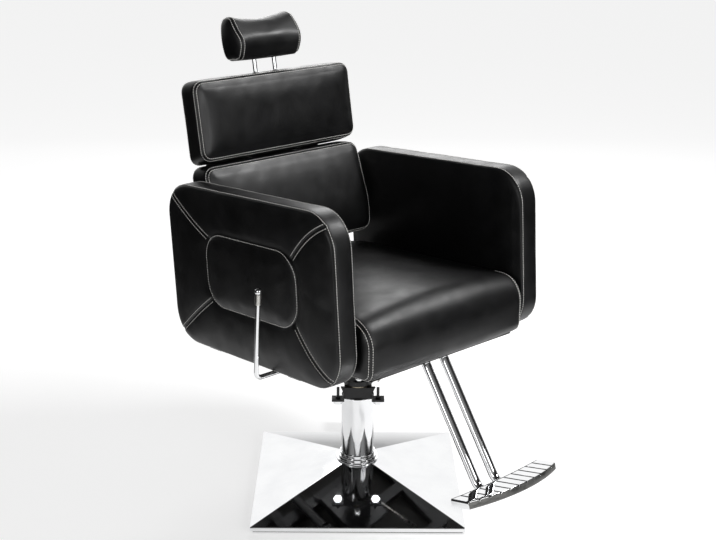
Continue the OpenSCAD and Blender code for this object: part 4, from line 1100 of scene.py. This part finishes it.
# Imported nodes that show, the width of their broken edges and the name of the finished piece
DRESSED = (
    ("base_cover", 1.6, "base_shell"),
    ("column_sleeve", 0.8, "column_shroud"),
    ("ram_head", 1.2, "pump_head"),
    ("head_bars", 0.8, "pump_head_ears"),
    ("swivel_spindle", 0.8, "swivel_turntable"),
    ("pedestal", 1.2, "swivel_pedestal"),
    ("saddle", 0.8, "saddle_bracket"),
    ("plate_clamp", 0.8, "footrest_weld_block"),
    ("pedal_pad", 2.0, "pedal_rubber"),
    ("pedal_arm", 1.0, "pedal_lever"),
    ("lever_sleeve", 0.5, "lever_ferrule"),
    ("back_frame", 0.8, "back_upright_frame"),
)


def finished(piece, slot, body, *nodes, material=None):
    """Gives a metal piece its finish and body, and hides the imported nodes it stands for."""
    piece.data.materials.clear()
    piece.data.materials.append(material or FINISHES[slot])
    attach(piece, body)
    if nodes:
        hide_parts(*nodes)
    return piece


def swept(points, radius, sides=40):
    """Rings of points round a path in space, square to it."""
    points = np.array(points, float)
    ahead = np.gradient(points, axis=0)
    ahead /= np.linalg.norm(ahead, axis=1)[:, None]
    across = np.cross(ahead, (0.31, 0.17, 0.94))
    across /= np.linalg.norm(across, axis=1)[:, None]
    for i in range(1, len(points)):
        across[i] = across[i - 1] - ahead[i] * (across[i - 1] @ ahead[i])
        across[i] /= np.linalg.norm(across[i])
    other = np.cross(ahead, across)
    turn = np.linspace(0, 2 * math.pi, sides, endpoint=False)[:, None]
    return [p + radius * (np.cos(turn) * a + np.sin(turn) * o) for p, a, o in zip(points, across, other)]


def skin(name, rings):
    """Closed skin over rings of equal length, with a flat end on the first and the last."""
    count = len(rings[0])
    points = np.concatenate(rings)
    quads = []
    for i in range(len(rings) - 1):
        for k in range(count):
            m = (k + 1) % count
            quads.append((i * count + k, (i + 1) * count + k, (i + 1) * count + m, i * count + m))
    last = (len(rings) - 1) * count
    quads.append(tuple(range(count)))
    quads.append(tuple(last + k for k in range(count)))
    piece = mesh_object(name, points, quads)
    piece.data.set_sharp_from_angle(angle=math.radians(32))
    return piece


def joined(name, pieces):
    """One piece from several, each already in place."""
    work = bmesh.new()
    for piece in pieces:
        work.from_mesh(piece.data)
        bpy.data.objects.remove(piece)
    mesh = bpy.data.meshes.new(name)
    work.to_mesh(mesh)
    work.free()
    made = bpy.data.objects.new(name, mesh)
    bpy.context.scene.collection.objects.link(made)
    return made


# Footrest

PLATE_SLOPE = math.radians(15)
PLATE_REAR = (-424 * MM, 181 * MM)
PLATE = Matrix.Translation((0, *PLATE_REAR)) @ Matrix.Rotation(-PLATE_SLOPE, 4, "X")
PLATE_HALF = 128 * MM
PLATE_DEPTH = 67.5 * MM
PLATE_BOW = 27 * MM
PLATE_HOLLOW = 8 * MM
PLATE_THICKNESS = 16 * MM
PLATE_ROUND = 1.2 * MM
# The dull strip reaches into the plate, stands out at its edges, and a little more at its face
LIP_IN = 0.4 * MM
LIP_OUT = 0.1 * MM
LIP_FACE = 0.35 * MM
LIP_BREAK = 0.4 * MM
RIB_PITCH = 23.3 * MM
GROOVE_HALF = 2.4 * MM
GROOVE_DEPTH = 2.8 * MM
# Strips of painted shade in the grooves: their half width, how far they stop short of the plate's edges,
# and their top
SHADE_STRIP_HALF = 1.3 * MM
SHADE_STRIP_SHORT = 0.3 * MM
SHADE_STRIP_TOP = -0.6 * MM
TUBE_X = 25.5 * MM
TUBE_RADIUS = 9.5 * MM
TUBE_BEND = 40 * MM
TUBE_DROP = math.radians(54.3)
TUBE_MEET = (-401.97 * MM, 148.7 * MM)
TUBE_RUN_IN = 6 * MM
# How far the tubes' ends are let up into the plate
TUBE_LIFT = 8 * MM
TUBE_TOP = (-230.2 * MM, 387.7 * MM)


def groove(x):
    """Depth of the groove between two ribs at a place across the plate."""
    off = np.abs(np.mod(x / RIB_PITCH, 1) - 0.5) * RIB_PITCH
    return GROOVE_DEPTH * (0.5 + 0.5 * np.cos(math.pi * np.clip(off / GROOVE_HALF, 0, 1))) ** 0.6


def plate_edges(x):
    """Front and rear edge of the plate at a place across it."""
    front = (PLATE_HALF ** 2 + PLATE_BOW ** 2) / (2 * PLATE_BOW)
    rear = (PLATE_HALF ** 2 + PLATE_HOLLOW ** 2) / (2 * PLATE_HOLLOW)
    return front - PLATE_DEPTH - math.sqrt(front ** 2 - x ** 2), rear - math.sqrt(rear ** 2 - x ** 2)


def plate_ring(x, inset=0.0):
    """Section of the ribbed plate, drawn in all round by an inset."""
    front, rear = plate_edges(x)
    front += inset
    rear -= inset
    top = -groove(x) - inset
    low = inset - PLATE_THICKNESS
    r = PLATE_ROUND
    arc = [math.radians(a) for a in (0, 30, 60, 90)]
    ring = [(rear - r + r * math.cos(a), top - r + r * math.sin(a)) for a in arc]
    ring += [(rear + (front - rear) * t, top) for t in (0.2, 0.4, 0.6, 0.8)]
    ring += [(front + r - r * math.sin(a), top - r + r * math.cos(a)) for a in arc]
    ring += [(front + r - r * math.cos(a), low + r - r * math.sin(a)) for a in arc]
    ring += [(rear - r + r * math.sin(a), low + r - r * math.cos(a)) for a in arc]
    return carried([(x, y, z) for y, z in ring], PLATE)


def plate_stations():
    """Places across the plate: close together over each groove, with a few on each rib."""
    steps = np.array((-1, -0.8, -0.6, -0.4, -0.2, 0, 0.2, 0.4, 0.6, 0.8, 1)) * GROOVE_HALF
    middles = (np.arange(-6, 6) + 0.5) * RIB_PITCH
    ribs = np.arange(-6, 7) * RIB_PITCH
    near = [m + s for m in middles for s in steps] + [r + s for r in ribs for s in (-6 * MM, 0, 6 * MM)]
    limit = PLATE_HALF - PLATE_ROUND
    inside = {round(float(x), 7) for x in near if abs(x) < limit - 0.5 * MM}
    return np.array(sorted(inside | {-limit, limit}))


def ribbed_plate():
    """Curved plate with a groove between every two ribs."""
    rings = [plate_ring(x) for x in plate_stations()]
    rings = [plate_ring(-PLATE_HALF, PLATE_ROUND), *rings, plate_ring(PLATE_HALF, PLATE_ROUND)]
    return skin("footrest_plate", rings)


def front_edge():
    """Dull strip along the plate's front, notched by the grooves."""
    lip = []
    for x in plate_stations():
        front, _ = plate_edges(x)
        high = -groove(x) - PLATE_ROUND
        low = PLATE_ROUND - PLATE_THICKNESS
        corners = ((LIP_IN, low), (-LIP_OUT, low), (-LIP_FACE, low + LIP_BREAK),
                   (-LIP_FACE, high - LIP_BREAK), (-LIP_OUT, high), (LIP_IN, high))
        lip.append(carried([(x, front + y, z) for y, z in corners], PLATE))
    return skin("footrest_front_edge", lip)


def groove_shade_strips():
    """Black strips in the bottom of the plate's grooves, painted shade for the dark that the grooves hold.
    """
    painted_shade_strips = []
    for x in (np.arange(-5, 5) + 0.5) * RIB_PITCH:
        front, rear = plate_edges(x)
        strip = []
        for y in np.linspace(front + SHADE_STRIP_SHORT, rear - SHADE_STRIP_SHORT, 6):
            low, high = -GROOVE_DEPTH, SHADE_STRIP_TOP
            a, b = x - SHADE_STRIP_HALF, x + SHADE_STRIP_HALF
            strip.append(carried([(a, y, low), (b, y, low), (b, y, high), (a, y, high)], PLATE))
        painted_shade_strips.append(skin("strip", strip))
    return joined("footrest_groove_fill", painted_shade_strips)


def bent_tubes():
    """Two tubes that run straight down from the seat and bend forward under the plate."""
    forward = np.array((-math.cos(PLATE_SLOPE), math.sin(PLATE_SLOPE)))
    upward = np.array((math.cos(TUBE_DROP), math.sin(TUBE_DROP)))
    meet = np.array(TUBE_MEET)
    turn = TUBE_DROP + PLATE_SLOPE
    tangent = TUBE_BEND * math.tan(turn / 2)
    start = meet + forward * tangent
    centre = start + TUBE_BEND * np.array((math.sin(PLATE_SLOPE), math.cos(PLATE_SLOPE)))
    arm = start - centre
    path = [start + forward * TUBE_RUN_IN + (0, TUBE_LIFT)]
    for k in range(ARC_STEPS + 1):
        a = turn * k / ARC_STEPS
        bent = (arm[0] * math.cos(a) - arm[1] * math.sin(a), arm[0] * math.sin(a) + arm[1] * math.cos(a))
        path.append(centre + bent + (0, TUBE_LIFT * (1 - k / ARC_STEPS) ** 2))
    path += [meet + upward * tangent * 1.5, np.array(TUBE_TOP)]
    tubes = []
    for x in (-TUBE_X, TUBE_X):
        tubes.append(skin("tube", swept([(x, y, z) for y, z in path], TUBE_RADIUS)))
    return joined("footrest_tubes_bent", tubes)


def add_footrest():
    finished(ribbed_plate(), "mirror_chrome", "seat", "footplate")
    finished(front_edge(), "satin_steel", "seat", material=EDGE_METAL)
    # The black strips in the grooves are painted shade
    finished(groove_shade_strips(), "black_rubber", "seat")
    finished(bent_tubes(), "mirror_chrome", "seat", "footrest_tubes")


# Headrest guides

FERRULE_RADIUS = 9 * MM
FERRULE_BORE = 5 * MM
FERRULE_LOW = 508 * MM
FERRULE_TOP = 517.5 * MM
POST_X = 27.5 * MM
POST_Y = -33 * MM


def turned(name, profile, centre, sides=48):
    """Closed profile of radius and height, spun round an upright axis of the back's frame."""
    angles = np.linspace(0, 2 * math.pi, sides, endpoint=False)
    points = []
    for a in angles:
        points += [(centre[0] + r * math.cos(a), centre[1] + r * math.sin(a), z) for r, z in profile]
    count = len(profile)
    quads = []
    for i in range(sides):
        for k in range(count):
            j = (i + 1) % sides
            m = (k + 1) % count
            quads.append((i * count + k, j * count + k, j * count + m, i * count + m))
    piece = mesh_object(name, carried(points, BACK), quads)
    piece.data.set_sharp_from_angle(angle=math.radians(40))
    return piece


def add_guides():
    """Chrome ferrules where the posts slide into the back."""
    low = FERRULE_LOW
    bore = FERRULE_BORE
    edge = FERRULE_RADIUS
    top = FERRULE_TOP
    profile = [(bore, low), (edge, low), (edge, top - 3 * MM), (edge - 0.5 * MM, top - 1.2 * MM),
               (edge - 1.8 * MM, top - 0.2 * MM), (bore + 0.6 * MM, top), (bore, top - 0.6 * MM)]
    rings = [turned("ferrule", profile, (x, POST_Y)) for x in (-POST_X, POST_X)]
    finished(joined("headrest_ferrules", rings), "mirror_chrome", "back")


def add_rubber():
    """Rubber strip that the foot stands on, set in a little under the rim."""
    work = bmesh.new()
    work.from_mesh(frame["nodes"]["base_rubber"].data)
    bmesh.ops.remove_doubles(work, verts=work.verts, dist=0.002 * MM)
    bmesh.ops.scale(work, vec=(RUBBER_SHARE, RUBBER_SHARE, 1), verts=work.verts)
    mesh = bpy.data.meshes.new("base_rubber_strip")
    work.to_mesh(mesh)
    work.free()
    piece = bpy.data.objects.new("base_rubber_strip", mesh)
    bpy.context.scene.collection.objects.link(piece)
    finished(piece, "black_rubber", "foot", "base_rubber")


def part_of(piece, name, height, above):
    """The part of a piece above or below a height, closed again where it is cut."""
    work = bmesh.new()
    work.from_mesh(piece.data)
    faces = [*work.verts, *work.edges, *work.faces]
    bmesh.ops.bisect_plane(work, geom=faces, plane_co=(0, 0, height), plane_no=(0, 0, 1),
                           clear_inner=above, clear_outer=not above)
    bmesh.ops.holes_fill(work, edges=[edge for edge in work.edges if edge.is_boundary])
    mesh = bpy.data.meshes.new(name)
    work.to_mesh(mesh)
    work.free()
    part = bpy.data.objects.new(name, mesh)
    bpy.context.scene.collection.objects.link(part)
    return part


def add_head_bolts():
    """Studs over the pump head's ears coloured black as painted shade, for the dark seat underside that
    they reflect, and a bright nut under each.
    """
    body = BODY_OF["head_bolts"]
    whole = dress("head_bolts", body, SLOT_OF["head_bolts"], BOLT_ROUND, "pump_head_bolts")
    low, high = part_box("head_bars")
    height = (low[2] + high[2]) / 2
    studs = part_of(whole, "pump_head_studs_painted_shade", height, True)
    nuts = part_of(whole, "pump_head_nuts", height, False)
    bpy.data.objects.remove(whole)
    # The studs get black steel as painted shade, for the dark seat underside that they reflect
    finished(studs, "black_steel", body)
    finished(nuts, "satin_steel", body, "head_bolts", material=CHROME)


def add_metal():
    for node, width, name in DRESSED:
        angle = FOOT_EDGE_ANGLE if node == "base_cover" else EDGE_ANGLE
        dress(node, BODY_OF[node], SLOT_OF[node], width * MM, name, angle)
    add_head_bolts()
    dress("base_collar", "foot", "mirror_chrome", COLLAR_ROUND, "column_collar", segments=4)
    add_rubber()
    add_footrest()
    add_guides()


# Studio

FLOOR_HALF = 12
FLOOR_TONE = 0.75
FLOOR_LIFT = 0.5
MIRROR_LIFT = 0.55
FLOOR_LIFT_FAR = 0.7
FLOOR_FAR = (0.9, 3.5)
WORLD_FILL = 0.25
BEHIND = 1.15
# The chair stands on a white paper sweep that runs away from the camera, in a dim room
SWEEP_ALONG = (0.664, 0.747, 0)
SWEEP_ACROSS = (0.747, -0.664, 0)
SWEEP_EDGE = (0.85, 1.2)
SWEEP_FRONT = (-1.9, -1.5)
SWEEP_REAR = (0.3, 1.4)
SWEEP_REAR_SHARE = 0.35
ROOM_DIM = 0.025
FRONT_GLOW = 0.3
# Directions, as shares, between which the room's reflected tone changes: ahead, behind and upwards
ROOM_FRONT = (-0.85, -0.3)
ROOM_BEHIND = (0.45, 0.85)
ROOM_HIGH = (0.5, 0.8)


def seen_by(tree, *rays):
    """One where a ray is of one of these kinds."""
    path = tree.nodes.new("ShaderNodeLightPath")
    source = path.outputs[rays[0]]
    for ray in rays[1:]:
        either = tree.nodes.new("ShaderNodeMath")
        either.operation = "MAXIMUM"
        tree.links.new(source, either.inputs[0])
        tree.links.new(path.outputs[ray], either.inputs[1])
        source = either.outputs["Value"]
    return source


def level(tree, source, low, high, from_low=0.0, from_high=1.0):
    """A level between two others, each a number or the output of a node."""
    node = tree.nodes.new("ShaderNodeMapRange")
    node.inputs["From Min"].default_value = from_low
    node.inputs["From Max"].default_value = from_high
    for name, value in (("To Min", low), ("To Max", high)):
        if isinstance(value, float):
            node.inputs[name].default_value = value
        else:
            tree.links.new(value, node.inputs[name])
    tree.links.new(source, node.inputs["Value"])
    return node.outputs["Result"]


def along(tree, output, direction):
    """How far a point or direction reaches along another."""
    place = tree.nodes.new("ShaderNodeTexCoord")
    reach = tree.nodes.new("ShaderNodeVectorMath")
    reach.operation = "DOT_PRODUCT"
    reach.inputs[1].default_value = direction
    tree.links.new(place.outputs[output], reach.inputs[0])
    return reach.outputs["Value"]


def add_floor():
    """White paper on the floor. Reflections show it only as wide as a sweep, and the dim room beside."""
    mesh = bpy.data.meshes.new("floor")
    h = FLOOR_HALF
    mesh.from_pydata([(-h, -h, 0), (h, -h, 0), (h, h, 0), (-h, h, 0)], [], [(0, 1, 2, 3)])
    floor = bpy.data.objects.new("floor", mesh)
    bpy.context.scene.collection.objects.link(floor)
    material, tree, shader = new_material("pale_floor", (FLOOR_TONE,) * 3, 0.9, level=0.0)
    size = tree.nodes.new("ShaderNodeMath")
    size.operation = "ABSOLUTE"
    tree.links.new(along(tree, "Object", SWEEP_ACROSS), size.inputs[0])
    across = level(tree, size.outputs["Value"], 1.0, 0.0, *SWEEP_EDGE)
    lengthwise = along(tree, "Object", SWEEP_ALONG)
    rear = level(tree, lengthwise, across, level(tree, across, 0.0, SWEEP_REAR_SHARE), *SWEEP_REAR)
    paper = level(tree, lengthwise, 0.0, rear, *SWEEP_FRONT)
    away = tree.nodes.new("ShaderNodeVectorMath")
    away.operation = "LENGTH"
    tree.links.new(tree.nodes["Texture Coordinate"].outputs["Object"], away.inputs[0])
    clear = level(tree, away.outputs["Value"], FLOOR_LIFT, FLOOR_LIFT_FAR, *FLOOR_FAR)
    mirrored = seen_by(tree, "Is Glossy Ray")
    seen = seen_by(tree, "Is Camera Ray", "Is Transmission Ray")
    tone = level(tree, mirrored, FLOOR_TONE, level(tree, paper, ROOM_DIM, FLOOR_TONE))
    tree.links.new(tone, shader.inputs["Base Color"])
    shader.inputs["Emission Color"].default_value = (1, 1, 1, 1)
    lift = level(tree, mirrored, 0.0, level(tree, paper, 0.0, MIRROR_LIFT))
    tree.links.new(level(tree, seen, lift, clear), shader.inputs["Emission Strength"])
    mesh.materials.append(material)


def add_world():
    """White behind the chair, a plain level of light on it, and the dim room in its reflections."""
    world = bpy.data.worlds.new("studio")
    bpy.context.scene.world = world
    world.use_nodes = True
    tree = world.node_tree
    background = tree.nodes["Background"]
    background.inputs["Color"].default_value = (1, 1, 1, 1)
    lengthwise = along(tree, "Generated", SWEEP_ALONG)
    front = level(tree, lengthwise, FRONT_GLOW, ROOM_DIM, *ROOM_FRONT)
    behind = level(tree, lengthwise, front, BEHIND, *ROOM_BEHIND)
    low = level(tree, along(tree, "Generated", (0, 0, 1)), behind, ROOM_DIM, *ROOM_HIGH)
    glossy = level(tree, seen_by(tree, "Is Glossy Ray"), WORLD_FILL, low)
    strength = level(tree, seen_by(tree, "Is Camera Ray", "Is Transmission Ray"), glossy, 1.0)
    tree.links.new(strength, background.inputs["Strength"])


# Name, place, aim, width, height and radiance of each lamp
LAMPS = (
    ("softbox_above_right", (1.3, -1.0, 2.5), (0, 0, 0.5), 0.75, 0.75, 20.5),
    ("softbox_front", (-0.1, -3.0, 1.25), (0, 0, 0.6), 1.5, 1.4, 3.6),
    ("softbox_left", (-2.7, -0.8, 1.1), (0, 0, 0.6), 0.7, 1.2, 4.0),
    ("softbox_rear_low", (1.8, 2.2, 1.8), (0, 0, 0.7), 1.6, 0.8, 4.5),
    ("softbox_rear_high", (1.2, 1.3, 2.4), (0, 0, 0.6), 0.9, 0.7, 4.5),
)


def add_lamps():
    for name, at, aim, width, height, radiance in LAMPS:
        data = bpy.data.lights.new(name, "AREA")
        data.shape = "RECTANGLE"
        data.size = width
        data.size_y = height
        data.energy = radiance * math.pi * width * height
        lamp = bpy.data.objects.new(name, data)
        lamp.location = at
        lamp.rotation_euler = (Vector(aim) - Vector(at)).to_track_quat("-Z", "Y").to_euler()
        bpy.context.scene.collection.objects.link(lamp)


add_camera()
add_floor()
add_world()
add_lamps()
bpy.context.scene.view_settings.view_transform = "Standard"
finish_nodes()
add_arms()
add_seat()
add_back()
add_headrest()
add_metal()
